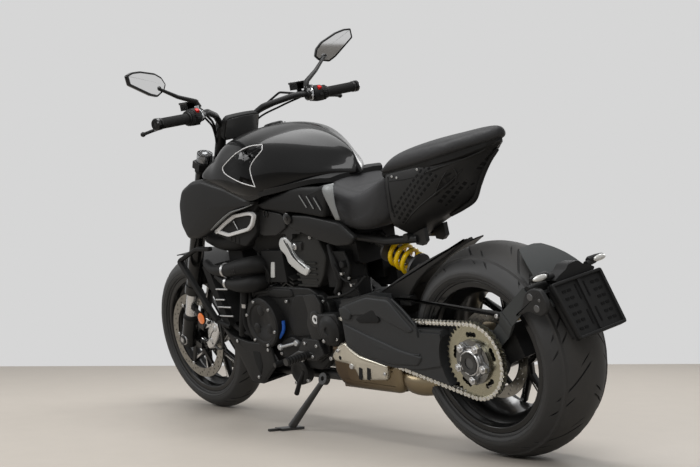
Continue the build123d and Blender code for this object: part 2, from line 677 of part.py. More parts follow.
def shock():
    """A damper with an eye at each end and a coil spring between two seats."""
    along = (SHOCK_LOW - SHOCK_TOP).normalized()
    start = SHOCK_TOP + along * 84
    end = SHOCK_LOW - along * 46
    seat_r = 45.5
    body = rod(SHOCK_TOP + along * 14, start, 21) + rod(start - along * 8, start, seat_r)
    body += rod(start - along, end + along * 30, 16) + rod(end, end + along * 8, seat_r)
    for eye, half in ((SHOCK_TOP, 22), (SHOCK_LOW, 22)):
        body += rod(eye - Vector(0, half, 0), eye + Vector(0, half, 0), 18)
    for eye in (SHOCK_TOP, SHOCK_LOW):
        body -= rod(eye - Vector(0, 40, 0), eye + Vector(0, 40, 0), 6.05)
    parts["shock_body"] = body
    wire, radius, turns = 7.5, 37.5, 3.5
    height = (end - start).length - 2 * wire - 1
    helix = Helix(pitch=height / turns, height=height, radius=radius)
    coil = sweep(Plane(helix @ 0, z_dir=helix % 0) * Circle(wire), path=helix)
    parts["shock_spring"] = Plane(start + along * (wire + 0.5), z_dir=along).location * coil


def swingarm():
    """A single-sided arm: it crosses ahead of the tyre, then runs inside the chain's loop to the hub."""
    axle = REAR_AXLE
    room = REAR_TYRE_R + 21
    left = side_plate([(600, 482), (420, 513), (345, 510), (335, 300), (450, 304), (600, 360)], 40, 122.5)
    left += side_plate([(740, 462), (590, 484), (590, 372), (740, 396)], 40, 84)
    right = side_plate([(740, 462), (590, 474), (590, 376), (740, 396)], -110, -66)
    cross = side_plate([(594, 472), (420, 480), (380, 455), (380, 376), (594, 384)], -110, 60)
    front = (left + [right, cross]) - drum(axle, room, -120, 123)
    # The arm narrows between tyre and chain, and widens again inside the rim.
    web = side_plate([(560, 406), (300, 411), (110, 413), (95, 244), (300, 286), (560, 344)], 120, 156)
    hub = side_plate(
        [(200, 424), (60, 402), (-40, 392), (-76, 330), (-40, 262), (60, 250), (220, 276)], 72, 123
    )
    hub += drum(axle, 78, 72, 123)
    hub &= drum(axle, 212.5, 70, 130)
    hub -= ring(axle, 214, 178, 60, 108)
    web -= drum(axle, room, 100, 125) - drum(axle, 212.4, 100, 125)
    web -= drum(axle, 130, 100, 160)
    wall_outline = [
        (560, 478), (420, 514), (320, 508), (196, 404), (110, 404), (110, 310), (220, 290), (340, 286)
    ]
    wall = side_plate(wall_outline + [(450, 302), (560, 340)], 154, 162) - drum(axle, 127, 140, 200)
    window = side_plate([(480, 434), (392, 470), (372, 432)], 148, 200)
    # The shock absorber's lower eye sits in a fork on the cross member.
    prong_outline = [
        (420, 478), (345, 530), (318, 548), (316, 562), (284, 562), (284, 520), (330, 516), (390, 440)
    ]
    prong = side_plate(prong_outline, 24, 42) + side_plate(prong_outline, -34, -24)
    prong -= drum(axle, room, -60, 60)
    pin = rod(SHOCK_LOW - Vector(0, 34, 0), SHOCK_LOW + Vector(0, 34, 0), 6)
    arm = front + [web, hub, wall - window, prong, pin]
    parts["swingarm"] = arm - drum(axle, SPINDLE_R + 0.05, 60, 130)


def drive_chain():
    """One closed loop of side plates, with a roller at every pitch of its straight runs."""
    rear_r = CHAIN_PITCH / (2 * sin(pi / SPROCKET_TEETH))
    front_r = CHAIN_PITCH / (2 * sin(pi / FRONT_SPROCKET_TEETH))
    centre = Vector(FRONT_SPROCKET[0] - REAR_AXLE[0], FRONT_SPROCKET[1] - REAR_AXLE[1])
    tilt = atan2(centre.Y, centre.X)
    wrap = asin((rear_r - front_r) / centre.length)
    run = centre.length * cos(wrap)
    top, low = pi / 2 + tilt - wrap, -pi / 2 + tilt + wrap

    def loop(offset, y_low, y_high):
        def at(middle, radius, angle):
            return middle[0] + radius * cos(angle), middle[1] + radius * sin(angle)

        rear, front = rear_r + offset, front_r + offset
        p1, p2 = at(REAR_AXLE, rear, top), at(REAR_AXLE, rear, low)
        q1, q2 = at(FRONT_SPROCKET, front, top), at(FRONT_SPROCKET, front, low)
        edges = [
            ThreePointArc(p1, at(REAR_AXLE, rear, (top + low) / 2 + pi), p2),
            Line(p2, q2),
            ThreePointArc(q2, at(FRONT_SPROCKET, front, (top + low) / 2), q1),
            Line(q1, p1),
        ]
        face = make_face(Curve() + edges)
        return Pos(0, y_high, 0) * extrude(Plane.XZ * face, amount=y_high - y_low)

    plate_t = 4.0
    low_y, high_y = CHAIN_Y - CHAIN_W / 2, CHAIN_Y + CHAIN_W / 2
    chain = loop(CHAIN_BAND, low_y, low_y + plate_t) - loop(-CHAIN_BAND, low_y - 1, low_y + plate_t + 1)
    chain += loop(CHAIN_BAND, high_y - plate_t, high_y) - loop(
        -CHAIN_BAND, high_y - plate_t - 1, high_y + 1
    )
    # The rollers stand along the straight runs: between the turning teeth the loop is side plates only.
    step = 2 * pi / SPROCKET_TEETH
    first = floor(top / step) + 1
    last = floor((low + 2 * pi) / step)
    spots = []
    for angle, used in (
        (top, (first * step - top) * rear_r), (low, (low + 2 * pi - last * step) * rear_r)
    ):
        start = Vector(*polar(REAR_AXLE, rear_r, degrees(angle)))
        end = Vector(*polar(FRONT_SPROCKET, front_r, degrees(angle)))
        heading = (end - start).normalized()
        for i in range(4, int((run + used) / CHAIN_PITCH)):
            spot = start + heading * (CHAIN_PITCH * i - used)
            spots.append((spot.X, spot.Y))
    parts["drive_chain"] = chain + [drum(spot, ROLLER_R, low_y + 1, high_y - 1) for spot in spots]


def rear_hugger():
    """A sheet over the front of the rear tyre, a blade along its left edge and a guard strip above the chain."""
    inner, sheet = REAR_TYRE_R + 24, 4.0
    arch = ring(REAR_AXLE, inner + sheet, inner, -118, 112)
    plan = [(289, 112), (264, 104), (236, 80), (199, 0), (153, -90), (150, -118), (330, -118), (330, 112)]
    arch &= extrude(polygon([(x, y, REAR_AXLE[1] + 60) for x, y in plan]), amount=400, dir=(0, 0, 1))
    cheek = [(426, 501), (319, 546), (217, 590), (87, 638), (-30, 684)]
    cheek += [(-34, 678), (66, 632), (190, 574), (240, 540), (276, 506), (284, 480)]
    web = side_plate(cheek, 102, 112)
    web += box((252, 300), (104, 129), (478, 506))
    web += side_plate(
        [(330, 500), (252, 500), (-126, 462), (-140, 452), (-138, 474), (120, 494)], 124, 129
    )
    parts["rear_hugger"] = arch + web


PLATE_TILT = radians(23.7)


def plate_parts():
    """The arm behind the wheel with its inner mudguard, then the plate's holder with the indicators."""
    arm = spoke_bar((-44, 360), (-112, 414), 108, 109, 24, 26, 16)
    arm += spoke_bar((-112, 414), (-172, 461), 109, 150, 26, 28, 16)
    arm += spoke_bar((-164, 454), (-262, 534), 149, 146, 26, 22, 15)
    arm += rod((-262, 150, 540), (-262, -60, 540), 13)
    inner = REAR_TYRE_R + 16
    half = [(-144, 24), (-152, 46), (-176, 63), (-206, 80), (-233, 92), (-262, 100), (-300, 100)]
    plan = half + [(x, -y) for x, y in reversed(half)]
    flap = ring(REAR_AXLE, inner + 4, inner, -104, 104)
    flap &= extrude(polygon([(x, y, REAR_AXLE[1]) for x, y in plan]), amount=400, dir=(0, 0, 1))
    parts["plate_bracket"] = arm + flap
    lean_out = Plane(origin=(-342, 6, 475), x_dir=(0, 1, 0), z_dir=(-cos(PLATE_TILT), 0, sin(PLATE_TILT)))
    board = polygon(
        [lean_out.from_local_coords(Vector(*p)) for p in ((96, 82), (-105, 82), (-80, -82), (82, -82))]
    )
    plate = extrude(board, amount=8, dir=-lean_out.z_dir)
    holder = box((-330, -266), (-88, 88), (540, 582)) + plate
    for side in (-1, 1):
        holder += rod((-281, side * 86, 568), (-281, side * 98, 568), 7)
        holder += Pos(-281, side * 120, 568) * Box(30, 56, 24)
    parts["plate_holder"] = holder


def rear_caliper():
    angle = 158
    middle = polar(REAR_AXLE, 118, angle)
    body = Pos(middle[0], REAR_DISC_Y, middle[1]) * Rot(0, 180 - angle, 0) * Box(70, 72, 100)
    body -= drum(REAR_AXLE, REAR_DISC_R + 8, REAR_DISC_Y - 8, REAR_DISC_Y + 8)
    body -= drum(REAR_AXLE, 82, 0, 71.5)
    body -= drum(REAR_AXLE, 78.2, 71, 130)
    body -= drum(REAR_AXLE, 400, 0, 46)
    parts["rear_caliper"] = body


def foot_controls():
    outline = [(836, 310), (800, 352), (720, 350), (700, 300), (750, 276), (800, 276), (822, 296)]
    side = side_plate(outline, 118.4, 150)
    side += rod((790, 150, 296), (790, 246, 296), 13)
    side += rod((760, 146, 300), (842, 147, 300), 8) + rod((842, 147, 300), (930, 152, 262), 7)
    side += rod((930, 146, 262), (930, 196, 262), 8)
    parts["foot_controls"] = both_sides(side)


# ---------------------------------------------------------------- side stand
def stand_axis():
    down = (STAND_FOOT - STAND_PIN).normalized()
    return down.cross(STAND_FOLDED.normalized()).normalized()


def side_stand():
    axis = stand_axis()
    pin, foot = STAND_PIN, STAND_FOOT
    along = (foot - pin).normalized()
    stand = rod(pin - axis * 9, pin + axis * 9, 20)
    stand += cone(pin + along * 14, foot - along * 12, 9, 14)
    # The foot's plate lies flat on the floor once the bike leans.
    floor_up = Vector(0, -sin(LEAN), cos(LEAN))
    base = Plane(foot, x_dir=(1, 0, 0), z_dir=floor_up)
    stand += base.location * Pos(0, 2, 4) * Box(44, 92, 8)
    stand += base.location * Pos(0, 66, 4) * Box(12, 46, 8)
    return stand - rod(pin - axis * 30, pin + axis * 30, 8.05)


def stand_bracket():
    """The crankcase's ear for the stand, with the stand's pin and the pin's head."""
    axis = stand_axis()
    pin = STAND_PIN
    up = axis.cross(Vector(-1, 0, 0)).normalized()
    ear = Plane(pin - axis * 15, x_dir=(1, 0, 0), z_dir=axis).location * Pos(0, 32, 0) * Box(44, 64, 10)
    bracket = rod(pin - axis * 20, pin + axis * 16, 8) + rod(pin - axis * 20, pin - axis * 10, 22)
    if ear.center().Z < pin.Z:
        ear = Plane(pin - axis * 15, x_dir=(1, 0, 0), z_dir=axis).location * Pos(0, -32, 0) * Box(
            44, 64, 10
        )
    return bracket + rod(pin + axis * 10, pin + axis * 16, 13) + ear


# ---------------------------------------------------------------- fitting and export
# The middle of the leaning bike's box on the floor, seen from the point below the rear axle.
MIDDLE_X = 757.0
MIDDLE_Y = 285.9

# Each of these pieces is cut back to clear the named neighbours.
CUTS = [
    ("crankcase", ["swingarm"]),
    ("side_panels", ["air_scoops"]),
    ("brake_hoses", ["front_calipers", "front_mudguard", "hand_controls"]),
    ("radiator", ["cylinder_heads"]),
    ("rear_subframe", ["cylinder_heads"]),
    ("hand_controls", ["handlebar", "mirrors"]),
    ("front_mudguard", ["fork_legs"]),
    ("fuel_tank", ["front_frame"]),
    ("tail_fairing", ["rear_subframe"]),
    ("exhaust_silencer", ["swingarm"]),
    ("exhaust_headers", ["exhaust_silencer", "cylinder_heads"]),
    ("plate_bracket", ["swingarm"]),
    ("rear_hugger", ["swingarm"]),
    ("plate_holder", ["plate_bracket"]),
    ("rear_caliper", ["swingarm"]),
]


def to_floor(piece):
    """Lean the bike to its left, put its lowest points on the floor and its middle over the origin."""
    return Pos(-MIDDLE_X, -MIDDLE_Y, REAR_CROWN_R * (1 - cos(LEAN))) * Rot(degrees(-LEAN), 0, 0) * piece


def main():
    for build in (
        front_wheel,
        rear_wheel,
        fork,
        triple_clamps,
        bars,
        hand_controls,
        mirrors,
        display,
        headlight,
        front_mudguard,
        front_calipers,
        brake_hoses,
        front_frame,
        engine,
        radiator,
        belly_pan,
        exhaust,
        fuel_tank,
        air_scoops,
        side_panels,
        seats,
        tail_fairing,
        rear_subframe,
        shock,
        swingarm,
        drive_chain,
        rear_hugger,
        plate_parts,
        rear_caliper,
        foot_controls,
    ):
        build()
    parts["side_stand"] = side_stand()
    for name, others in CUTS:
        for other in others:
            parts[name] -= parts[other]
    os.makedirs("parts", exist_ok=True)
    for name, piece in parts.items():
        export_step(to_floor(piece), f"parts/{name}.step")


main()
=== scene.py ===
"""A power cruiser motorcycle leaning on its side stand: the looks of the frame's pieces.

Every piece is worked out on the upright bike, in millimetres: X forward from the rear axle, Y to the
rider's left, Z up from the ground. placed() leans it onto the stand and turns it to the frame's metres.
"""
import math

import bmesh
import bpy
import numpy as np
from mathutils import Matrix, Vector


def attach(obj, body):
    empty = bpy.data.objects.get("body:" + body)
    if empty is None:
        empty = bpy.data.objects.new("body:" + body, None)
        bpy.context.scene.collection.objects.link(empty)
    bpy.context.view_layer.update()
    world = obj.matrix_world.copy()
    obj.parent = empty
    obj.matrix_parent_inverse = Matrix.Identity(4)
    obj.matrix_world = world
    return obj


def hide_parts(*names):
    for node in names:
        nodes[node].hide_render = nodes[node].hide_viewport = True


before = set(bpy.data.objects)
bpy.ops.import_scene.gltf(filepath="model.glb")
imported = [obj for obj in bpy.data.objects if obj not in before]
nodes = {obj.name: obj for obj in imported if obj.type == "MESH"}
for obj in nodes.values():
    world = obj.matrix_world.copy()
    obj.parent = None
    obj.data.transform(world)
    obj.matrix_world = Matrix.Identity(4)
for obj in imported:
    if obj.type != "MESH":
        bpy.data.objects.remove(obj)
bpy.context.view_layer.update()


# ---------------------------------------------------------------- the bike's own frame
LEAN = math.radians(12.63)
MIDDLE = np.array([757.0, 285.9, -3.557])
LEANED = np.array(
    [[1, 0, 0], [0, math.cos(LEAN), math.sin(LEAN)], [0, -math.sin(LEAN), math.cos(LEAN)]]
)
RAKE = math.radians(26.0)
STEERING_FOOT = 1705.0
REAR_AXLE = np.array([0.0, 0.0, 324.0])
FRONT_AXLE = np.array([1593.0, 0.0, 297.99])
AXLE_HEIGHT = (1593.0 - STEERING_FOOT) * -math.sin(RAKE) + 297.99 * math.cos(RAKE)
FORK_OFFSET = 31.0
FORK_SPAN = 105.0
ACROSS = np.array([0.0, 1.0, 0.0])


def placed(points):
    """Points of the upright bike, leaned to its left and moved to the frame's metres."""
    return (np.asarray(points, float) @ LEANED.T - MIDDLE) / 1000


def steered(points):
    """Points given forwards, left and up along the steering axis, on the upright bike."""
    points = np.asarray(points, float)
    x = STEERING_FOOT + points[..., 0] * math.cos(RAKE) - points[..., 2] * math.sin(RAKE)
    z = points[..., 0] * math.sin(RAKE) + points[..., 2] * math.cos(RAKE)
    return np.stack([x, points[..., 1], z], -1)


UP_FORK = steered([0, 0, 1.0]) - steered([0, 0, 0.0])
AHEAD_FORK = steered([1.0, 0, 0]) - steered([0, 0, 0.0])


# ---------------------------------------------------------------- surfaces as arrays
def lattice(points, round_u=False, round_v=False):
    """A grid of points, rows by columns, joined to its neighbours by four-sided faces."""
    rows, columns = points.shape[:2]
    index = np.arange(rows * columns).reshape(rows, columns)
    if round_u:
        index = np.vstack([index, index[:1]])
    if round_v:
        index = np.hstack([index, index[:, :1]])
    corners = [index[:-1, :-1], index[1:, :-1], index[1:, 1:], index[:-1, 1:]]
    return points.reshape(-1, 3), [np.stack(corners, -1).reshape(-1, 4)]


def capped(rings):
    """Rings of points joined into a skin, the first and last ring each filled with one face."""
    points, faces = lattice(rings, round_v=True)
    count, around = rings.shape[:2]
    ends = np.stack([np.arange(around)[::-1], (count - 1) * around + np.arange(around)])
    return points, faces + [ends]


def stood(outline, y):
    """An outline of X and Z as points at one Y."""
    return np.insert(np.asarray(outline, float), 1, y, axis=1)


def slab(outline, low, high):
    """A plate: its outline in X and Z, carried along Y from low to high."""
    return capped(np.array([stood(outline, low), stood(outline, high)]))


def band(rings):
    """A closed hoop through rings of points: the last joins the first."""
    return lattice(np.array(rings), True, True)


def prism(outline, origin, right, up, depth):
    """A plate in any plane: outline steps along right and up from origin, carried along depth."""
    outline = np.asarray(outline, float)
    face = np.asarray(origin, float) + outline[:, :1] * np.asarray(right) + outline[:, 1:] * np.asarray(up)
    return capped(np.array([face, face + np.asarray(depth, float)]))


def block(centre, size, right=(1, 0, 0), up=(0, 0, 1)):
    """A box about its centre, its width along right, its height along up and its depth across both."""
    right, up = np.asarray(right, float), np.asarray(up, float)
    deep = np.cross(up, right) * size[1]
    corners = np.array([(-1, -1), (1, -1), (1, 1), (-1, 1)]) * (size[0] / 2, size[2] / 2)
    return prism(corners, np.asarray(centre, float) - deep / 2, right, up, deep)


def unit(vector):
    vector = np.asarray(vector, float)
    return vector / np.linalg.norm(vector, axis=-1, keepdims=True)


def square_to(axis):
    """Two unit vectors square to an axis and to each other."""
    axis = unit(axis)
    helper = np.array([0.0, 0.0, 1.0]) if abs(axis[2]) < 0.9 else np.array([1.0, 0.0, 0.0])
    first = unit(np.cross(helper, axis))
    return first, np.cross(axis, first)


def turned(profile, centre, axis=ACROSS, sides=48, start=0.0):
    """A profile of radius and height turned about an axis: centre + height along it + radius round it."""
    profile = np.asarray(profile, float)
    first, second = square_to(axis)
    angle = start + np.linspace(0, 2 * np.pi, sides, endpoint=False)[:, None, None]
    round_it = np.cos(angle) * first + np.sin(angle) * second
    points = np.asarray(centre, float) + profile[:, 1:] * unit(axis) + profile[:, :1] * round_it
    return lattice(points, round_u=True)


def curve_through(points, steps=8, closed=False):
    """A smooth line through the points: each span is the cubic whose ends lean to the next points."""
    points = np.asarray(points, float)
    if closed:
        padded = np.concatenate([points[-1:], points, points[:2]])
    else:
        padded = np.concatenate([2 * points[:1] - points[1:2], points, 2 * points[-1:] - points[-2:-1]])
    before, start, end, after = padded[:-3], padded[1:-2], padded[2:-1], padded[3:]
    t = np.linspace(0, 1, steps, endpoint=False).reshape((-1,) + (1,) * points.ndim)
    line = 0.5 * (
        2 * start
        + (end - before) * t
        + (2 * before - 5 * start + 4 * end - after) * t**2
        + (3 * start - before - 3 * end + after) * t**3
    )
    line = np.moveaxis(line, 0, 1).reshape((-1,) + points.shape[1:])
    return line if closed else np.concatenate([line, points[-1:]])


def softened(outline, reach=8.0, steps=4):
    """A closed outline with each corner swapped for a parabola that starts reach before it."""
    outline = np.asarray(outline, float)
    before, after = np.roll(outline, 1, 0) - outline, np.roll(outline, -1, 0) - outline
    near = [step * np.minimum(reach / np.linalg.norm(step, axis=1), 0.48)[:, None]
        for step in (before, after)]
    t = np.linspace(0, 1, steps)[None, :, None]
    bends = outline[:, None] + near[0][:, None] * (1 - t) ** 2 + near[1][:, None] * t**2
    return bends.reshape(-1, outline.shape[1])


def tube(points, radius, sides=14, steps=8, smooth=True, flat=1.0):
    """A round section carried along a line, its frame carried on from each step to the next."""
    points = np.asarray(points, float)
    size = np.broadcast_to(np.asarray(radius, float), (len(points),))
    if smooth:
        joined = curve_through(np.column_stack([points, size]), steps)
        points, size = joined[:, :3], joined[:, 3]
    along = unit(np.gradient(points, axis=0))
    side = square_to(along[0])[0]
    sidewards = []
    for step in along:
        side = unit(side - step * (side @ step))
        sidewards.append(side)
    sidewards = np.array(sidewards)[:, None]
    upwards = np.cross(along[:, None], sidewards)
    angle = np.linspace(0, 2 * np.pi, sides, endpoint=False)[None, :, None]
    section = np.cos(angle) * sidewards + flat * np.sin(angle) * upwards
    return capped(points[:, None] + size[:, None, None] * section)


def bolt(centre, axis=ACROSS, radius=6.0, height=5.0):
    """A socket-head screw: a chamfered drum with a recess."""
    rim = [(radius, -1), (radius, height * 0.8), (radius * 0.86, height), (radius * 0.55, height)]
    return turned([(0, -1)] + rim + [(radius * 0.5, height * 0.45), (0, height * 0.45)], centre, axis, 12)


def bolts(spots, radius, height, axis=ACROSS):
    """One screw at each place."""
    return [bolt(spot, axis, radius, height) for spot in spots]


def drum(centre, radius, low, high, chamfer=1.0, sides=40, bore=0.0, axis=ACROSS):
    """A disc or cylinder about an axis, with small chamfers and an open bore where one is given."""
    outer = [(radius - chamfer, low), (radius, low + chamfer), (radius, high - chamfer),
        (radius - chamfer, high)]
    if bore:
        closed = [(bore, high), (bore, low)] + outer
        return turned(closed + closed[:1], centre, axis, sides)
    return turned([(0, low)] + outer + [(0, high)], centre, axis, sides)


def other_side(piece):
    """The same piece mirrored to the bike's right."""
    points, faces = piece
    return points * (1, -1, 1), [face[:, ::-1] for face in faces]


def both(pieces):
    return pieces + [other_side(piece) for piece in pieces]


def polar(centre, radius, degrees):
    """X and Z of points round a centre, from forward towards up."""
    angle = np.radians(degrees)
    return np.stack([centre[0] + radius * np.cos(angle), centre[2] + radius * np.sin(angle)], -1)


def at(axle, radius, degrees, y):
    """A place round an axle, at one Y and a turn from forward towards up."""
    x, z = polar(axle, radius, degrees)
    return np.array([x, y, z])


def make(name, pieces, paint, *stands_for, body="chassis", bevel=0.0, smooth=35.0, solid=0.0):
    """One object of all the pieces' points and faces, merged, turned outwards, painted and placed."""
    points, sides, corners, start = [], [], [], 0
    for piece_points, piece_faces in pieces:
        points.append(piece_points)
        for faces in piece_faces:
            sides.append(np.full(len(faces), faces.shape[1]))
            corners.append((faces + start).ravel())
        start += len(piece_points)
    points, sides, corners = np.concatenate(points), np.concatenate(sides), np.concatenate(corners)
    mesh = bpy.data.meshes.new(name)
    mesh.vertices.add(len(points))
    mesh.vertices.foreach_set("co", placed(points).astype(np.float32).ravel())
    mesh.loops.add(len(corners))
    mesh.loops.foreach_set("vertex_index", corners.astype(np.int32))
    mesh.polygons.add(len(sides))
    mesh.polygons.foreach_set("loop_start", (np.cumsum(sides) - sides).astype(np.int32))
    mesh.update(calc_edges=True)
    work = bmesh.new()
    work.from_mesh(mesh)
    bmesh.ops.remove_doubles(work, verts=work.verts, dist=1e-6)
    bmesh.ops.dissolve_degenerate(work, edges=work.edges, dist=1e-7)
    bmesh.ops.recalc_face_normals(work, faces=work.faces)
    work.to_mesh(mesh)
    work.free()
    mesh.polygons.foreach_set("use_smooth", np.ones(len(mesh.polygons), bool))
    mesh.set_sharp_from_angle(angle=math.radians(smooth))
    piece = bpy.data.objects.new(name, mesh)
    bpy.context.scene.collection.objects.link(piece)
    mesh.materials.append(paint.material)
    if solid:
        wall = piece.modifiers.new("wall", "SOLIDIFY")
        wall.thickness = solid / 1000
        wall.offset = -1
    if bevel:
        edge = piece.modifiers.new("edge", "BEVEL")
        edge.width = bevel / 1000
        edge.segments = 2
        edge.limit_method = "ANGLE"
        edge.angle_limit = math.radians(32)
        edge.harden_normals = True
    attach(piece, body)
    if stands_for:
        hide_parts(*stands_for)
    return piece


def steer(name, pieces, paint, *stands_for, **finish):
    """One object that turns with the fork."""
    make(name, pieces, paint, *stands_for, body="steering", **finish)


# ---------------------------------------------------------------- finishes
def tone(*display):
    """A colour from its display values, 0 to 255: one for a grey, or red, green and blue."""
    red, green, blue = (v / 255 / 12.92 if v <= 10 else ((v / 255 + 0.055) / 1.055) ** 2.4
        for v in (display * 3)[:3])
    return red, green, blue, 1.0


def shade(colour, factor, lift=0.0):
    """The colour made darker or lighter."""
    return tuple(min(1.0, c * factor + lift) for c in colour[:3]) + (1.0,)


class Value:
    """A shader socket whose arithmetic adds Math nodes."""

    def __init__(self, paint, socket):
        self.paint, self.socket = paint, socket

    def math(self, operation, *others):
        return self.paint.node("ShaderNodeMath", {"operation": operation}, dict(enumerate((self,) + others)))

    def __rsub__(self, other):
        return self.paint.node("ShaderNodeMath", {"operation": "SUBTRACT"}, {0: other, 1: self})

    def __abs__(self):
        return self.math("ABSOLUTE")

    def between(self, low, high):
        """Rises smoothly from 0 at low to 1 at high."""
        settings = {"interpolation_type": "SMOOTHSTEP"}
        return self.paint.node("ShaderNodeMapRange", settings, {0: self, 1: low, 2: high, 3: 0.0, 4: 1.0})


OPERATIONS = {
    "add": "ADD", "radd": "ADD", "sub": "SUBTRACT", "mul": "MULTIPLY", "rmul": "MULTIPLY", "pow": "POWER",
    "gt": "GREATER_THAN", "lt": "LESS_THAN",
}
for method, operation in OPERATIONS.items():
    setattr(Value, f"__{method}__", lambda self, other, operation=operation: self.math(operation, other))


class Paint:
    """One material: a Principled shader, and the nodes that vary it."""

    def __init__(self, name, colour, roughness, metallic=0.0, **constants):
        self.material = bpy.data.materials.new(name)
        self.material.use_nodes = True
        self.tree = self.material.node_tree
        self.shader = self.tree.nodes["Principled BSDF"]
        self.feed("Base Color", colour)
        self.feed("Roughness", roughness)
        self.feed("Metallic", metallic)
        for socket, value in constants.items():
            self.feed(socket.replace("_", " "), value)
        self.material.diffuse_color = colour

    def node(self, kind, settings=None, sockets=None, output=0):
        made = self.tree.nodes.new(kind)
        for key, value in (settings or {}).items():
            setattr(made, key, value)
        for key, value in (sockets or {}).items():
            self.plug(made.inputs[key], value)
        return Value(self, made.outputs[output])

    def plug(self, socket, value):
        if isinstance(value, Value):
            self.tree.links.new(value.socket, socket)
        else:
            socket.default_value = value

    def feed(self, socket, value):
        self.plug(self.shader.inputs[socket], value)

    def place(self):
        """Object coordinates, in metres."""
        return self.node("ShaderNodeTexCoord", output=3)

    def bike(self, axis):
        """X, Y or Z of the upright bike, in millimetres."""
        row = LEANED.T[axis]
        offset = float(MIDDLE @ LEANED[:, axis])
        sockets = {0: self.place(), 1: tuple(row * 1000)}
        return self.node("ShaderNodeVectorMath", {"operation": "DOT_PRODUCT"}, sockets, 1) + offset

    def noise(self, scale, detail=3.0, rough=0.5, at=None):
        sockets = {"Vector": at or self.place(), "Scale": scale, "Detail": detail, "Roughness": rough}
        return self.node("ShaderNodeTexNoise", None, sockets)

    def bands(self, value, rough=0.6):
        """Noise that changes only with one value."""
        return self.noise(1.0, 2.0, rough, self.node("ShaderNodeCombineXYZ", None, {0: value}))

    def round_axle(self, axle):
        """X and Z from an axle and the distance from it, in millimetres."""
        x, z = self.bike(0) - float(axle[0]), self.bike(2) - float(axle[2])
        return x, z, (x * x + z * z) ** 0.5

    def mix(self, factor, first, second):
        """The first colour where factor is 0, the second where it is 1."""
        return self.node("ShaderNodeMix", {"data_type": "RGBA"}, {0: factor, 6: first, 7: second}, 2)

    def bump(self, height, distance):
        """Height in units of distance, which is in millimetres."""
        sockets = {"Height": height, "Distance": distance / 1000}
        self.feed("Normal", self.node("ShaderNodeBump", None, sockets))


# The specular level of everything that isn't bare metal, so that black stays black.
DULL = 0.2


def grained(name, colour, roughness, grain=900.0, depth=0.05, metallic=0.0, spread=0.12, **constants):
    """A finish with a fine grain, and slow changes in its roughness and shade."""
    paint = Paint(name, colour, roughness, metallic, **constants)
    if metallic < 0.6:
        paint.feed("Specular IOR Level", DULL)
    slow = paint.noise(9.0, 4.0, 0.6)
    fine = paint.noise(grain, 2.0, 0.5)
    lighter = shade(colour, 1 + 2.4 * spread, 0.004 * spread)
    paint.feed("Base Color", paint.mix(slow * 0.6 + fine * 0.4, shade(colour, 1 - 2.0 * spread), lighter))
    paint.feed("Roughness", roughness + (slow - 0.5) * spread + (fine - 0.5) * 0.1)
    paint.bump(fine, depth)
    return paint


def round_brushed(name, colour, roughness, centre, depth=0.02):
    """Bare metal turned about an axle: fine rings, with slow changes in shade."""
    paint = Paint(name, colour, roughness, 1.0)
    rings = paint.bands(paint.round_axle(centre)[2] * 1.6)
    slow = paint.noise(14.0, 3.0, 0.6)
    paint.feed("Base Color", paint.mix(rings * 0.5 + slow * 0.5, shade(colour, 0.72), colour))
    paint.feed("Roughness", roughness + (rings - 0.5) * 0.25 + (slow - 0.5) * 0.15)
    paint.bump(rings, depth)
    return paint


tank_gloss = Paint("tank_gloss", tone(6), 0.3, 0.0, Coat_Weight=0.36, Coat_Roughness=0.04,
    Specular_IOR_Level=0.12)
tank_gloss.bump(tank_gloss.noise(240.0, 1.0, 0.4), 0.01)
satin = grained("satin_black", tone(26), 0.46, 1400.0, 0.03)
matt = grained("matt_black", tone(19), 0.62, 1100.0, 0.05)
plastic = grained("moulded_black", tone(24), 0.66, 800.0, 0.08)
gloss_black = grained("gloss_black", tone(13), 0.24, 600.0, 0.01, 0.0, 0.05, Coat_Weight=0.4,
    Coat_Roughness=0.08)
wheel_black = grained("wheel_black", tone(16), 0.3, 900.0, 0.02, 0.0, 0.06, Coat_Weight=0.3,
    Coat_Roughness=0.15)
rubber = grained("rubber", tone(24), 0.78, 500.0, 0.12)
tyre_rubber = grained("tyre_rubber", tone(52, 52, 51), 0.68, 420.0, 0.10, 0.0, 0.16)
cast_grey = grained("cast_grey", tone(92), 0.48, 700.0, 0.10, 0.75)
cast_dark = grained("cast_dark", tone(46), 0.52, 800.0, 0.08, 0.35)
frame_grey = grained("frame_grey", tone(46), 0.46, 900.0, 0.05, 0.45)
machined = grained("machined_silver", tone(206), 0.26, 300.0, 0.015, 1.0, 0.08)
silver_paint = grained("silver_paint", tone(176, 178, 180), 0.36, 600.0, 0.02, 0.75, 0.08)
zinc = grained("zinc_steel", tone(186), 0.34, 420.0, 0.03, 1.0)
dark_steel = grained("dark_steel", tone(70), 0.42, 500.0, 0.04, 0.9)
chain_steel = grained("chain_steel", tone(200, 198, 190), 0.24, 380.0, 0.03, 1.0, 0.2)
yellow = grained("spring_yellow", tone(252, 204, 14), 0.32, 500.0, 0.02, 0.0, 0.06, Coat_Weight=0.4)
mirror_glass = Paint("mirror_glass", tone(232), 0.03, 1.0)
smoked = Paint("smoked_glass", tone(3), 0.06, 0.0, Coat_Weight=0.1, Specular_IOR_Level=0.1)
arm_satin = grained("arm_satin", tone(46, 47, 48), 0.5, 1100.0, 0.04)
# A lighter grey for painted highlights: the scoops' lips, the side panels' ridge and the louvres' lips.
painted_highlight_grey = grained("painted_highlight_grey", tone(128, 130, 130), 0.42, 700.0, 0.03, 0.3)
lens_clear = Paint("lens_clear", tone(200, 200, 196), 0.12, 0.0, Coat_Weight=1.0)
reflector_amber = Paint("reflector_amber", tone(240, 120, 20), 0.2, 0.0, Coat_Weight=1.0)
switch_red = grained("switch_red", tone(190, 30, 24), 0.4, 500.0, 0.03)
hose_blue = grained("hose_blue", tone(36, 86, 170), 0.4, 500.0, 0.03)
white_ring = grained("white_ring", tone(214), 0.4, 400.0, 0.02)

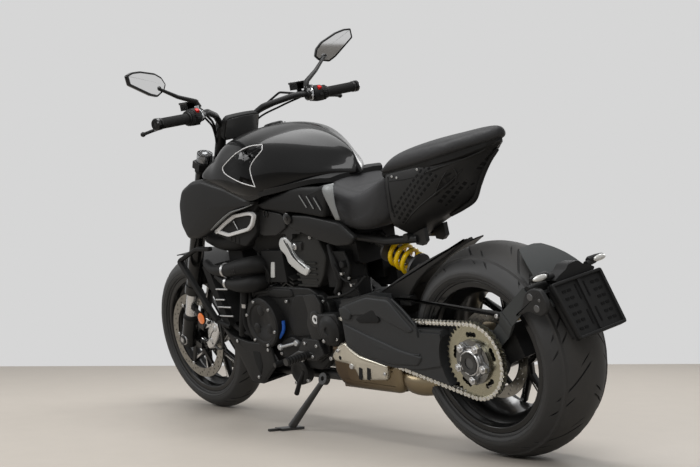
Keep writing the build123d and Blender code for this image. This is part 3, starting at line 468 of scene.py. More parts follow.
# ---------------------------------------------------------------- camera, stage and lights
camera_data = bpy.data.cameras.new("camera")
camera_data.lens = 70.04
camera_data.sensor_width = 36.0
camera_data.clip_start = 0.05
camera = bpy.data.objects.new("camera", camera_data)
camera.location = (-3.5869, 2.6844, 0.6242)
camera.rotation_euler = (math.pi / 2 + 0.00864, 0.0, -0.68185 - math.pi / 2)
bpy.context.scene.collection.objects.link(camera)
bpy.context.scene.camera = camera

# The floor ends where the wall behind the bike would stand: square to the camera, this far from the middle.
FLOOR_LOW = -0.0006
FLOOR_END = 2.62
FLOOR_REACH = 9.0
TO_CAMERA = unit(np.array([camera.location[0], camera.location[1], 0.0]))
ALONG_WALL = np.array([-TO_CAMERA[1], TO_CAMERA[0], 0.0])
corners = [ALONG_WALL * across * FLOOR_REACH + TO_CAMERA * reach + (0, 0, FLOOR_LOW)
    for reach, across in ((-FLOOR_END, -1), (FLOOR_REACH, -1), (FLOOR_REACH, 1), (-FLOOR_END, 1))]
floor_mesh = bpy.data.meshes.new("floor")
floor_mesh.from_pydata([tuple(corner) for corner in corners], [], [(0, 1, 2, 3)])
floor_mesh.materials.append(grained("floor", tone(178, 171, 162), 0.55, 60.0, 0.02, 0.0, 0.04).material)
floor = bpy.data.objects.new("floor", floor_mesh)
bpy.context.scene.collection.objects.link(floor)


def lamp(name, location, target, width, height, power):
    data = bpy.data.lights.new(name, "AREA")
    data.energy = power
    data.shape = "RECTANGLE"
    data.size, data.size_y = width, height
    light = bpy.data.objects.new(name, data)
    light.location = location
    light.rotation_euler = (Vector(target) - Vector(location)).to_track_quat("-Z", "Y").to_euler()
    bpy.context.scene.collection.objects.link(light)


lamp("overhead", (0.0, 0.2, 3.4), (0, 0, 0), 3.2, 2.2, 118)
lamp("rear_left", (-2.6, 3.0, 2.4), (0, 0, 0.5), 2.0, 1.4, 56)
lamp("front_left", (2.6, 2.8, 2.2), (0.2, 0, 0.5), 1.8, 1.2, 48)
lamp("right", (0.4, -3.2, 2.2), (0, 0, 0.5), 2.4, 1.2, 40)

# The camera, mirrors and clear parts see a paler world than the one that lights the bike.
world = bpy.data.worlds.new("studio")
world.use_nodes = True
bpy.context.scene.world = world
tree = world.node_tree
paths = tree.nodes.new("ShaderNodeLightPath")
seen_by = paths.outputs["Is Camera Ray"]
for ray in ("Is Glossy Ray", "Is Transmission Ray"):
    either = tree.nodes.new("ShaderNodeMath")
    either.operation = "MAXIMUM"
    tree.links.new(seen_by, either.inputs[0])
    tree.links.new(paths.outputs[ray], either.inputs[1])
    seen_by = either.outputs[0]
both_worlds = tree.nodes.new("ShaderNodeMixShader")
tree.links.new(seen_by, both_worlds.inputs[0])
paler = tree.nodes.new("ShaderNodeBackground")
backgrounds = (tree.nodes["Background"], tone(205), 0.36), (paler, tone(214), 1.0)
for number, (background, colour, strength) in enumerate(backgrounds, 1):
    background.inputs["Color"].default_value = colour
    background.inputs["Strength"].default_value = strength
    tree.links.new(background.outputs[0], both_worlds.inputs[number])
tree.links.new(both_worlds.outputs[0], tree.nodes["World Output"].inputs[0])

bpy.context.scene.view_settings.view_transform = "Standard"


# ---------------------------------------------------------------- more shapes
def inwards(outline, distance):
    """The outline moved in by a distance: each corner goes along the mean of its two edges' normals."""
    before = unit(outline - np.roll(outline, 1, 0))
    after = unit(np.roll(outline, -1, 0) - outline)
    twist = np.sum(outline[:, 0] * np.roll(outline[:, 1], -1) - np.roll(outline[:, 0], -1) * outline[:, 1])
    mean = unit(before + after + 1e-9)
    normal = np.stack([-mean[:, 1], mean[:, 0]], -1) * np.sign(twist)
    stretch = 1 / np.clip(np.sum(mean * after, 1), 0.6, 1)
    return outline + normal * (distance * stretch)[:, None]


def pillow(outline, low, high, inset=8.0, drop=None, bulge=0.0, reach=10.0, steps=5, corner_steps=4):
    """A plate in X and Z whose outer edge is a quarter ellipse, inset wide and drop deep, under a dome
    of height bulge times 1 - share squared, share running from the edge to the middle."""
    outline = softened(outline, reach, corner_steps) if reach else np.asarray(outline, float)
    sign = 1 if high > low else -1
    drop = inset if drop is None else drop
    rings = [(outline, low)]
    for t in np.linspace(0, np.pi / 2, steps):
        rings.append((inwards(outline, inset * (1 - math.cos(t))), high - sign * drop * (1 - math.sin(t))))
    if bulge:
        edge, middle = rings[-1][0], rings[-1][0].mean(0)
        for share in (0.8, 0.55, 0.3, 0.08):
            rings.append((middle + (edge - middle) * share, high + sign * bulge * (1 - share**2)))
    return capped(np.array([stood(flat, y) for flat, y in rings]))


def through_sections(stations, across_steps, along_steps):
    """A closed skin through half sections, each X and its (Y, Z) points from keel to ridge, mirrored to the
    right: cubics through the points of every section, then cubics through the sections."""
    rings = []
    for x, half in stations:
        half = np.asarray(half, float)
        ring = np.concatenate([half, half[-2:0:-1] * (-1, 1)])
        rings.append(np.column_stack([np.full(len(ring), float(x)), ring]))
    rings = np.array(rings)
    if across_steps > 1:
        rings = np.moveaxis(curve_through(np.moveaxis(rings, 1, 0), across_steps, closed=True), 0, 1)
    if along_steps > 1:
        rings = curve_through(rings, along_steps)
    return rings


class Side:
    """The left side of a skin: gives Y, and points a little above the skin, from X and Z."""

    def __init__(self, rings):
        flat = rings.reshape(-1, 3)
        self.points = flat[flat[:, 1] > 4]

    def on(self, flat, lift=0.0):
        flat = np.asarray(flat, float)
        shape = flat.shape[:-1]
        flat = flat.reshape(-1, 2)
        gap = np.sum((flat[:, None] - self.points[None][..., [0, 2]]) ** 2, -1)
        near = np.argsort(gap, 1)[:, :4]
        weight = 1 / (np.take_along_axis(gap, near, 1) + 4.0)
        y = (self.points[near][..., 1] * weight).sum(1) / weight.sum(1)
        return np.stack([flat[:, 0], y + lift, flat[:, 1]], -1).reshape(shape + (3,))


def laid_panel(side, outline, lift, reach=8.0, rows=6, thick=2.0):
    """A thin panel that lies on a side: rings of its outline drawn towards its middle, all on the skin."""
    outline = softened(outline, reach) if reach else np.asarray(outline, float)
    middle = outline.mean(0)
    rings = [side.on(outline, lift - thick)]
    for share in np.linspace(1, 0.05, rows):
        rings.append(side.on(middle + (outline - middle) * share, lift))
    return capped(np.array(rings))


# ---------------------------------------------------------------- wheels
def smooth_step(value, low, high):
    t = np.clip((value - low) / (high - low), 0, 1)
    return t * t * (3 - 2 * t)


TREAD_THICK = 16.0
GROOVE_DEPTH = 4.2


def tyre(name, axle, radius, width, crown, rim_half, pitches, sweep, node, body):
    """A tyre turned about its axle. Its columns lean back along the tread's grooves, so each groove is a
    strip of columns pressed in: crown radius less depth, where depth rises smoothly between its two ends."""
    wide = width / 2
    low_crown = radius - crown
    limit = math.asin(wide / crown)
    phi = np.linspace(-limit, limit, 73)
    crown_line = np.stack([crown * np.sin(phi), low_crown + crown * np.cos(phi)], -1)
    shoulder = crown_line[-1, 1]
    lip, bead = 229.0, 217.0
    wall = np.array(
        [
            (wide + 0.2, shoulder - 5),
            (wide + 0.4, shoulder - 14),
            (wide - 1.5, shoulder - 15),
            ((wide + rim_half + 10) / 2 + 3, lip + 13),
            (rim_half + 14, lip + 9),
            (rim_half + 14.5, lip + 7),
            (rim_half + 9, lip + 5),
            (rim_half + 7, lip),
            (rim_half - 1, lip),
            (rim_half - 1, bead),
            (rim_half - 12, bead),
            (wide - 14, shoulder - 4),
        ]
    )
    inside = np.stack([np.linspace(wide - 30, 30 - wide, 7), np.full(7, radius - TREAD_THICK)], -1)
    inside[:, 1] -= 18 * (inside[:, 0] / wide) ** 2
    section = np.concatenate([crown_line, wall, inside, wall[::-1] * (-1, 1)])
    share = np.zeros(len(section))
    share[: len(phi)] = phi / limit
    on_crown = np.zeros(len(section), bool)
    on_crown[: len(phi)] = True
    # Each groove: its place in the pitch, half its width in mm, and its two ends from the middle to an edge.
    grooves = [
        (0.06, 3.4, 0.05, 0.84, 1),
        (0.30, 2.8, 0.44, 0.90, 1),
        (0.42, 2.4, 0.08, 0.34, -1),
        (0.56, 2.7, 0.05, 0.84, -1),
        (0.80, 2.2, 0.44, 0.90, -1),
        (0.92, 2.0, 0.08, 0.34, 1),
    ]
    columns, depths = [], []
    step = 2 * np.pi / pitches
    for place, half, first, last, side in grooves:
        along = share * side
        present = smooth_step(along, first - 0.02, first + 0.05) * (1 - smooth_step(along, last - 0.10, last))
        present = present * on_crown
        half_angle = half * (0.35 + 0.65 * present) / section[:, 1]
        for reach, deep in ((-1.35, 0), (-0.9, 1), (0.9, 1), (1.35, 0)):
            columns.append(place * step + reach * half_angle)
            depths.append(deep * present * GROOVE_DEPTH)
    columns, depths = np.array(columns), np.array(depths)
    turn = (np.arange(pitches) * step)[:, None, None]
    angle = (turn + columns[None]).reshape(-1, len(section))
    depth = np.tile(depths, (pitches, 1))
    angle = angle + math.radians(sweep) * np.abs(share) ** 1.25
    reach = section[:, 1] - depth * np.cos(share * limit)
    across = section[:, 0] - depth * np.sin(share * limit)
    points = np.stack([axle[0] + reach * np.cos(angle), across, axle[2] + reach * np.sin(angle)], -1)
    finish = tyre_finish(name, axle, radius, width, crown)
    make(name, [lattice(points, True, True)], finish, node, body=body, smooth=38)


def tyre_finish(name, axle, radius, width, crown):
    """Rubber, browner and duller where the crown has touched the road, with fine scuffs round it, and painted
    shade near black in its grooves.
    """
    paint = Paint(name, tone(38), 0.7)
    reach = paint.round_axle(axle)[2]
    worn = reach.between(radius - 38, radius - 8)
    slow = paint.noise(11.0, 4.0, 0.65)
    fine = paint.noise(420.0, 2.0, 0.5)
    dusty = paint.mix(slow, tone(43, 42, 41), tone(62, 60, 57))
    # Painted shade: the grooves lie under the crown's own arc, so whatever is deeper than that arc is painted
    # near black as the shade in them.
    rise = reach - (radius - crown)
    across = paint.bike(1)
    shoulder = radius - crown + math.sqrt(crown**2 - (width / 2) ** 2)
    groove_shade = ((across * across + rise * rise) ** 0.5 < crown - 1.3) * (reach > shoulder + 3.0)
    open_tread = paint.mix(worn * (0.35 + slow * 0.6), paint.mix(slow, tone(31), tone(42)), dusty)
    paint.feed("Base Color", paint.mix(groove_shade, open_tread, tone(7)))
    paint.feed("Roughness", 0.6 + worn * 0.16 + (slow - 0.5) * 0.2)
    rings = paint.bands(reach * 0.5, 0.5)
    paint.bump(fine * 0.7 + rings * 0.5 * (1 - worn), 0.18)
    return paint


tyre("rear_tyre_tread", REAR_AXLE, 324.0, 240.0, 147.0, 98.0, 10, 27, "rear_tyre", "rear_wheel")
tyre("front_tyre_tread", FRONT_AXLE, 300.0, 120.0, 66.0, 42.0, 11, 17, "front_tyre", "front_wheel")


def spoke_length(start, end, half, thick, edge=0.24):
    """A tapering bar of six-sided section between two points, each with its half width and thickness."""
    start, end = np.asarray(start, float), np.asarray(end, float)
    along = unit(end - start)
    flat = unit(np.cross(along, ACROSS))
    out = np.cross(flat, along)
    shape = np.array([(-1, edge), (-1 + edge, 1), (1 - edge, 1), (1, edge), (0.8, -1), (-0.8, -1)])
    rings = []
    for middle, wide, deep in ((start, half[0], thick[0] / 2), (end, half[1], thick[1] / 2)):
        rings.append(middle + shape[:, :1] * flat * wide + shape[:, 1:] * out * deep)
    return capped(np.array(rings))


def wheel(name, axle, half, well, hub, first, hub_y, rim_y, thick, body, node):
    """The barrel is one closed profile turned about the axle; five stems split in two arms each."""
    edge, flange, seat = half + 6, 228, 215.8
    outer = [(flange, edge), (flange, edge - 4), (flange - 5, edge - 6), (seat + 3, half - 1),
        (seat, half - 3), (seat, half - 22)]
    outer += [(well + 8, half - 32), (well + 2, half - 40)]
    inner = [(well - 5, half - 44), (well + 1, half - 34), (seat - 9, half - 20), (seat - 8, edge - 5),
        (seat - 4, edge)]
    profile = outer + [(r, -y) for r, y in reversed(outer)] + [(r, -y) for r, y in reversed(inner)] + inner
    pieces = [turned(profile[::-1] + profile[-1:], axle, ACROSS, 120)] + hub
    facets = []
    for number in range(5):
        middle = first + 72 * number
        fork_y = (2 * hub_y + rim_y) / 3
        stem = at(axle, 24, middle, hub_y), at(axle, 108, middle, fork_y)
        pieces.append(spoke_length(*stem, (19, 14), (thick, thick * 0.8)))
        for side in (-1, 1):
            start = at(axle, 100, middle + side * 1.5, fork_y)
            tip = at(axle, well + 5, middle + side * 15, rim_y)
            pieces.append(spoke_length(start, tip, (12, 10), (thick * 0.8, thick * 0.7)))
            for face in (1, -1):
                lift = np.array([0, face * thick * 0.4, 0])
                near, far = start + (tip - start) * 0.24 + lift, start + (tip - start) * 0.97 + lift
                facets.append(spoke_length(near, far, (1.5, 8.0), (1.6, 3.4), 0.5))
    make(name + "_black", pieces, wheel_black, node, body=body, bevel=2.0, smooth=32)
    make(name + "_facets", facets, machined, body=body, bevel=0.5)


front_hub = [drum(FRONT_AXLE, 32, -52, 52, 3, 48, 12.6), drum(FRONT_AXLE, 40, -30, 30, 4, 48, 20)]
wheel("front_wheel", FRONT_AXLE, 42.0, 188.0, front_hub, 90, 0.0, 0.0, 30.0, "front_wheel", "front_rim")
rear_hub = [drum(REAR_AXLE, 54, -100, 42, 4, 56, 30), drum(REAR_AXLE, 66, -96, -50, 6, 56, 40)]
wheel("rear_wheel", REAR_AXLE, 98.0, 190.0, rear_hub, 54, -72.0, -80.0, 26.0, "rear_wheel", "rear_rim")


def two_tone(name, metal, dark, axle, edge):
    """Turned steel outside a radius, and a dark anodised carrier inside it."""
    paint = round_brushed(name, metal, 0.28, axle)
    x, z, reach = paint.round_axle(axle)
    bright = paint.mix(paint.bands(x * 0.05 + z * 0.05), shade(metal, 0.72), metal)
    paint.feed("Base Color", paint.mix(reach < edge, bright, dark))
    return paint


front_disc_steel = two_tone("front_disc_steel", tone(150, 147, 140), tone(44), FRONT_AXLE, 131.0)
rear_disc_steel = two_tone("rear_disc_steel", tone(150, 147, 140), tone(50), REAR_AXLE, 99.0)
sprocket_silver = two_tone("sprocket_silver", tone(170, 166, 146), tone(112, 112, 110), REAR_AXLE, 67.0)

# The front disc's floating buttons sit between ring and carrier.
buttons = [drum(at(FRONT_AXLE, 132, turn, y), 6.5, -4.5, 4.5, 1, 16, 2.5)
    for y in (-66, 66) for turn in range(0, 360, 60)]
make("disc_buttons", buttons, zinc, body="front_wheel")

# The chain wheel's carrier: a five-lobed casting whose rim follows a cosine, with a nut on each lobe.
lobe_angle = np.linspace(0, 360, 120, endpoint=False)
lobe_reach = 54 + 15 * np.clip(np.cos(np.radians((lobe_angle - 54) * 5)), -0.35, 1)
star = polar(REAR_AXLE, lobe_reach, lobe_angle)
dish = []
for shrink, y in ((1.0, 146), (1.0, 152.5), (0.96, 155), (0.62, 157), (0.56, 163)):
    dish.append(stood((star - REAR_AXLE[[0, 2]]) * shrink + REAR_AXLE[[0, 2]], y))
make("sprocket_carrier", [capped(np.array(dish))], cast_grey, body="rear_wheel", bevel=0.8)
lobe_nut = [(0, 164), (7, 166), (12.4, 166), (13.6, 164.5), (13.6, 154), (16, 153), (16, 151)]
nuts, studs = [], []
for number in range(5):
    spot = at(REAR_AXLE, 52, 72 * number + 54, 0)
    nuts.append(turned(lobe_nut, spot, ACROSS, 6, 0.3))
    studs.append(drum(spot, 6.5, 150, 171, 1.2, 20))
collar = [(31, 140), (31, 164), (33, 166), (36, 166), (38, 163), (38, 156), (42, 156)]
nuts.append(turned(collar, REAR_AXLE, ACROSS, 64))
make("sprocket_nuts", nuts + studs, zinc, body="rear_wheel", bevel=0.6)
# The spindle's nut: eight notches round a hollow bore.
turn = np.linspace(0, 360, 96, endpoint=False)
nut_ring = polar(REAR_AXLE, 30.5 + 3.2 * (np.cos(np.radians(turn * 8)) > 0.2), turn)
bore_ring = polar(REAR_AXLE, np.full(len(turn), 17.4), turn)
axle_rings = [stood(bore_ring, y) for y in (120, 160, 166)] + [stood(nut_ring, y) for y in (168, 160)]
make("spindle_nut", [lattice(np.array(axle_rings), False, True)], dark_steel, body="rear_wheel", smooth=30)


# ---------------------------------------------------------------- chain
CHAIN_Y = 137
LINK_THICK = 2.6
ROUND_WHEEL = 122


def chain_path():
    """Pin places of the chain's loop: arcs about both chain wheels joined by their two outer tangents."""
    pitch, teeth, small_teeth = 15.875, 44, 15
    big, small = pitch / (2 * math.sin(math.pi / teeth)), pitch / (2 * math.sin(math.pi / small_teeth))
    rear, front = REAR_AXLE[[0, 2]], np.array([640.0, 388.0])
    gap = front - rear
    length = np.linalg.norm(gap)
    tilt, wrap = math.atan2(gap[1], gap[0]), math.asin((big - small) / length)
    run = length * math.cos(wrap)
    top, low = math.pi / 2 + tilt - wrap, -math.pi / 2 + tilt + wrap
    rear_arc, front_arc = (low + 2 * math.pi - top) * big, (top - low) * small
    total = rear_arc + front_arc + 2 * run
    count = int(round(total / pitch / 2)) * 2
    distance = np.arange(count) * total / count
    along_rear = np.clip(distance, 0, rear_arc) / big + top
    on_rear = rear + big * np.stack([np.cos(along_rear), np.sin(along_rear)], -1)
    along_front = low + np.clip(distance - rear_arc - run, 0, front_arc) / small
    on_front = front + small * np.stack([np.cos(along_front), np.sin(along_front)], -1)
    low_share = np.clip((distance - rear_arc) / run, 0, 1)[:, None]
    top_share = np.clip((distance - rear_arc - run - front_arc) / run, 0, 1)[:, None]
    spots = on_rear.copy()
    after_rear = distance > rear_arc
    spots[after_rear] = (on_rear * (1 - low_share) + on_front * low_share)[after_rear]
    late = distance > rear_arc + run
    spots[late] = on_front[late]
    last = distance > rear_arc + run + front_arc
    first_point = rear + big * np.array([math.cos(top), math.sin(top)])
    spots[last] = (on_front * (1 - top_share) + first_point * top_share)[last]
    return spots


def chain_links():
    """Side plates with two round ends and a waist, in turn outside and inside, on a roller at each pin."""
    spots = chain_path()
    angle = np.radians([-125, -90, -45, 0, 45, 90, 125])
    right_end = np.stack([7.94 + 7.0 * np.cos(angle), 7.0 * np.sin(angle)], -1)
    waist = np.array([(0, 3.8)])
    outline = np.concatenate([right_end, waist, -right_end, -waist])
    plates, pins = [], []
    for number, start in enumerate(spots):
        end = spots[(number + 1) % len(spots)]
        along = (end - start) / np.linalg.norm(end - start)
        flat = (start + end) / 2 + outline[:, :1] * along + outline[:, 1:] * np.array([-along[1], along[0]])
        inset = 0.0 if number % 2 else 3.6
        for side in (-1, 1):
            outer = CHAIN_Y + side * (10.4 - inset)
            plates.append(slab(flat, *sorted((outer, outer - side * LINK_THICK))))
        pin = np.array([start[0], 0, start[1]])
        # Round the chain wheel the pins are stubs in the plates, so the turning teeth pass between them.
        if math.hypot(*(start - REAR_AXLE[[0, 2]])) < ROUND_WHEEL:
            pins += [drum(pin, 3.1, 125.4, 130.0, 0.6, 8), drum(pin, 3.1, 144.0, 148.8, 0.6, 8)]
        else:
            pins += [drum(pin, 4.6, 129.6, 144.4, 0.4, 8), drum(pin, 3.1, 125.4, 148.8, 0.6, 8)]
    return plates, pins


plates, pins = chain_links()
link_steel = grained("link_steel", tone(200, 198, 190), 0.3, 380.0, 0.03, 1.0, 0.2)
make("drive_chain_links", plates, link_steel, "drive_chain", smooth=30)
make("drive_chain_pins", pins, machined, smooth=30)


# ---------------------------------------------------------------- tank
TANK = [
    (1178, [(0, 905), (120, 905), (170, 913), (178, 928), (150, 944), (80, 958), (0, 964)]),
    (1160, [(0, 900), (130, 900), (184, 910), (190, 930), (156, 958), (96, 980), (0, 986)]),
    (1110, [(0, 885), (140, 885), (191, 896), (196, 928), (164, 976), (108, 1006), (0, 1016)]),
    (1050, [(0, 868), (148, 868), (198, 884), (199, 944), (170, 1004), (114, 1034), (0, 1048)]),
    (980, [(0, 852), (150, 850), (201, 862), (202, 934), (178, 1004), (120, 1042), (0, 1061)]),
    (900, [(0, 842), (150, 842), (202, 850), (203, 930), (180, 1000), (118, 1042), (0, 1063)]),
    (820, [(0, 846), (150, 848), (188, 856), (186, 934), (160, 992), (104, 1034), (0, 1057)]),
    (740, [(0, 858), (130, 860), (152, 866), (150, 926), (126, 974), (80, 1014), (0, 1039)]),
    (660, [(0, 872), (90, 874), (108, 880), (106, 912), (82, 950), (50, 984), (0, 1011)]),
    (600, [(0, 874), (56, 876), (68, 882), (66, 906), (44, 938), (24, 962), (0, 978)]),
    (562, [(0, 874), (24, 876), (32, 881), (30, 896), (20, 916), (10, 934), (0, 946)]),
    (545, [(0, 876), (8, 877), (12, 880), (11, 888), (8, 896), (4, 904), (0, 908)]),
]
tank_rings = through_sections(TANK, 7, 7)
make("tank_shell", [capped(tank_rings)], tank_gloss, "fuel_tank", smooth=50)
tank_side = Side(tank_rings)
# The badge recess: a dark leaf between two pale lines that meet below it.
leaf = [(836, 1009), (887, 1008), (942, 991), (1001, 961), (1017, 946), (996, 926), (923, 900), (852, 880),
    (858, 909), (863, 938), (852, 960), (828, 990)]
make("tank_inset", both([laid_panel(tank_side, leaf, 0.8, 5)]), smoked, smooth=60)
upper_line = [(836, 1010), (887, 1009), (942, 992), (1001, 962), (1018, 946), (996, 925), (923, 899),
    (848, 878)]
rear_line = [(834, 1008), (827, 990), (852, 960), (863, 938), (858, 909), (849, 879)]
pale_lines = [tube(tank_side.on(curve_through(line, 6), 0.5), radius, 8, smooth=False)
    for line, radius in ((upper_line, 1.7), (rear_line, 1.5))]
make("tank_stripe", both(pale_lines), white_ring)
# The filler: a low round cap with its lock, ahead of the tank's crown.
cap_axis = unit(np.array([0.16, 0, 1.0]))
cap_spot = np.array([960.0, 0.0, 1062.0])
filler = [(0, 5), (20, 5), (30, 4.2), (33, 2), (34, 0), (34, -4), (44, -5), (47, -7), (47, -12)]
round_cap = [cap_spot + np.array([40 * math.cos(a), 40 * math.sin(a), -3.6 - 6.4 * math.cos(a)])
    for a in np.radians(range(0, 360, 60))]
make("tank_filler", [turned(filler, cap_spot, cap_axis, 56)] + bolts(round_cap, 2.6, 2.4, cap_axis), satin)
lock = turned([(0, 6.6), (7, 6.6), (8.5, 5.6), (8.5, 3)], cap_spot, cap_axis, 24)
make("tank_lock", [lock, block(cap_spot + cap_axis * 6.6, (9, 1.6, 1.4))], zinc)
# The dark joint line where tank and cowl meet, and the rear lip before the seat.
rear_lip = [
    (560, [(0, 860), (70, 861), (112, 866), (112, 880), (70, 884), (0, 884)]),
    (620, [(0, 862), (100, 864), (146, 868), (148, 884), (100, 888), (0, 888)]),
    (760, [(0, 850), (120, 850), (186, 852), (188, 868), (120, 870), (0, 870)]),
    (900, [(0, 832), (120, 832), (196, 836), (198, 852), (120, 854), (0, 854)]),
]
make("tank_base", [capped(through_sections(rear_lip, 1, 5))], plastic, smooth=30)

# ---------------------------------------------------------------- scoops and side panels
scoop = [(1344, 830), (1312, 881), (1242, 909), (1170, 914), (1032, 881), (885, 828), (893, 816), (1019, 790),
    (1156, 733), (1250, 702), (1325, 700), (1354, 756)]
scoop_skin = pillow(scoop, 166, 201, 16, 20, 4.0, 16, 7)
make("scoop_shells", both([scoop_skin]), satin, "air_scoops", smooth=60)
mouth = [(1362, 772), (1352, 832), (1300, 868), (1290, 812), (1300, 752)]
make("scoop_mouths", both([pillow(mouth, 158, 172, 4, 4, 0, 8)]), plastic, smooth=40)
# A painted highlight: a lighter grey bead along each scoop's lip.
lip_line = np.array([(1160, 196.5, 735), (1100, 199.5, 762), (1019, 200.5, 794), (950, 199, 806),
        (893, 195, 818)])
make("scoop_lip_highlights", both([tube(lip_line, [4.5, 7, 6.5, 5, 3], 12, 8, flat=0.45)]), painted_highlight_grey, smooth=60)
vent = np.array([(1172, 724), (1100, 758), (1034, 784), (950, 792), (924, 790), (910, 778), (932, 744),
        (960, 726), (1086, 706)])
make("vent_backs", both([pillow(inwards(vent, 2), 150, 176, 3, 3, 0, 12)]), plastic, smooth=40)
vent_outer = softened(vent, 10, 4)
vent_inner = inwards(vent_outer, 12.0)
hoop = (
    (vent_outer, 172), (vent_outer, 182), (inwards(vent_outer, 1.6), 184.4),
    (inwards(vent_outer, 9.8), 184.4), (vent_inner, 182), (vent_inner, 172),
)
make("vent_rings", both([band([stood(outline, y) for outline, y in hoop])]), white_ring, smooth=40)
make("vent_bars", both([tube([(1042, 179, 760), (1024, 180, 732)], 2.0, 8, smooth=False)]), zinc)
low_panel = [(1215, 722), (1109, 688), (1012, 667), (937, 714), (926, 787), (893, 818), (1045, 800),
    (1160, 735)]
make("vent_cowls", both([pillow(low_panel, 146, 168, 6, 6, 2.0, 14)]), matt, smooth=50)
low_slots = [block((1090 - 22 * i, 169.2, 700 - 5 * i), (5, 2.0, 22), (0.95, 0, 0.3), (-0.3, 0, 0.95))
    for i in range(3)]
make("cowl_slots", both(low_slots), rubber, bevel=0.6)

upper = np.array([(902, 813), (809, 837), (709, 857), (652, 862), (575, 858), (517, 868), (512, 846),
        (528, 810), (545, 762), (667, 779), (873, 796)])
make("side_panel_skins", both([pillow(upper, 142.8, 173, 9, 9, 2.0, 14)]), matt, "side_panels", smooth=50)
# A painted highlight: a thin lighter grey sheet on each side panel, where light catches the ridge of its
# crease.
wedge_rows = [
    [(487, 175, 756), (507, 177, 803), (528, 176, 848), (522, 170, 866)],
    [(476, 178, 756), (491, 180, 802), (502, 179, 846), (500, 170, 868)],
    [(464, 176, 755), (473, 178, 801), (476, 174, 846), (480, 164, 870)],
]
wedge = curve_through(np.moveaxis(curve_through(np.moveaxis(np.array(wedge_rows, float), 1, 0), 5), 0, 1), 5)
make("side_panel_ridge_highlights", both([lattice(wedge)]), painted_highlight_grey, solid=3.0, smooth=60)
# Each louvre slot has a lighter grey lip beside it, a painted highlight on its edge.
slits, slit_lips = [], []
for top, low in (((648, 843), (617, 800)), ((611, 840), (582, 794)), ((575, 834), (546, 789))):
    along = unit(np.array([top[0] - low[0], 0, top[1] - low[1]]))
    side_step = np.array([along[2], 0, -along[0]])
    middle = np.array([(top[0] + low[0]) / 2, 175.4, (top[1] + low[1]) / 2])
    slits.append(block(middle, (5.5, 2.4, 50), side_step, along))
    slit_lips.append(block(middle + side_step * 5.4 + (0, -0.2, 0), (4.5, 3.2, 50), side_step, along))
make("louvre_slots", both(slits), rubber, bevel=0.6)
make("louvre_lip_highlights", both(slit_lips), painted_highlight_grey, bevel=1.2)
lower = [(758, 774), (645, 768), (548, 752), (500, 744), (430, 694), (455, 672), (525, 668), (612, 687),
    (750, 728)]
make("lower_panel_skins", both([pillow(lower, 142.8, 161, 7, 7, 3.0, 12)]), satin, smooth=50)
frame_plate = [(974, 788), (914, 794), (800, 775), (787, 730), (852, 702), (926, 702), (968, 724)]
make("frame_plates", both([pillow(frame_plate, 142.3, 151, 4, 4, 0, 10)]), frame_grey, smooth=40)
cap_ring = [
    turned([(13, 0), (13, 3), (11, 4.5), (9, 3), (8, -1), (0, -1)], (884, 151, 778), ACROSS, 32),
    turned([(0, 6), (15, 6), (19, 4), (21, 0), (21, -26)], (751, 164, 762), ACROSS, 40),
    turned([(8, 6), (8, 8), (0, 8)], (751, 164, 762), ACROSS, 6),
]
make("frame_caps", both(cap_ring), gloss_black)

# ---------------------------------------------------------------- seats
vinyl = Paint("seat_vinyl", tone(46), 0.7, Specular_IOR_Level=DULL)
hide = vinyl.node("ShaderNodeTexVoronoi", None, {"Vector": vinyl.place(), "Scale": 620.0})
slow_hide = vinyl.noise(7.0, 3.0, 0.6)
vinyl.feed("Base Color", vinyl.mix(slow_hide, tone(38, 38, 39), tone(50, 50, 51)))
vinyl.feed("Roughness", 0.64 + (slow_hide - 0.5) * 0.16)
vinyl.bump(hide * 0.8 + vinyl.noise(1500.0, 2.0) * 0.4, 0.14)


def coordinates(mesh):
    flat = np.empty(len(mesh.vertices) * 3)
    mesh.vertices.foreach_get("co", flat)
    return flat.reshape(-1, 3)


def evaluated(piece):
    """A new mesh: the piece's own with its modifiers applied."""
    return bpy.data.meshes.new_from_object(piece.evaluated_get(bpy.context.evaluated_depsgraph_get()))


VOXEL = 0.006
PRESSURE = 4.0
CLOTH_FRAMES = 14


def blown_up(piece, swell):
    """The piece remeshed and blown up as cloth, where no point moves by more than swell millimetres."""
    remesh = piece.modifiers.new("remesh", "REMESH")
    remesh.mode = "VOXEL"
    remesh.voxel_size = VOXEL
    mesh = evaluated(piece)
    piece.modifiers.clear()
    piece.data = mesh
    cloth = piece.modifiers.new("cloth", "CLOTH")
    cloth.settings.use_pressure = True
    cloth.settings.uniform_pressure_force = PRESSURE
    cloth.settings.effector_weights.gravity = 0.0
    cloth.settings.quality = 5
    for number in range(1, CLOTH_FRAMES + 1):
        bpy.context.scene.frame_set(number)
    rest = coordinates(mesh)
    step = coordinates(evaluated(piece)) - rest
    length = np.linalg.norm(step, axis=1, keepdims=True)
    piece.modifiers.clear()
    bpy.context.scene.frame_set(1)
    return rest + step * np.minimum(1, swell / 1000 / np.maximum(length, 1e-9))


def stuffed(name, stations, node, swell, channels):
    """A closed skin blown up as cloth, then sewn channels pressed in: depth times exp(-(gap / width)
    squared), gap being the distance from the channel's line."""
    piece = make(name, [capped(through_sections(stations, 6, 6))], vinyl, node, smooth=180)
    rest = blown_up(piece, swell)
    flat = (rest * 1000 + MIDDLE) @ LEANED
    for line, depth, width in channels:
        line = curve_through(line, 10)
        gap = np.sqrt(((flat[:, None] - line[None]) ** 2).sum(-1)).min(1)
        middle = np.array([flat[:, 0].mean(), 0, flat[:, 2].mean() - 20])
        inward = unit(middle * (0, 1, 1) + flat * (1, 0, 0) - flat)
        flat = flat + inward * (depth * np.exp(-((gap / width) ** 2)))[:, None]
    mesh = piece.data
    mesh.vertices.foreach_set("co", placed(flat).astype(np.float32).ravel())
    mesh.update()
    mesh.polygons.foreach_set("use_smooth", np.ones(len(mesh.polygons), bool))
    finer = piece.modifiers.new("finer", "SUBSURF")
    finer.levels = finer.render_levels = 1


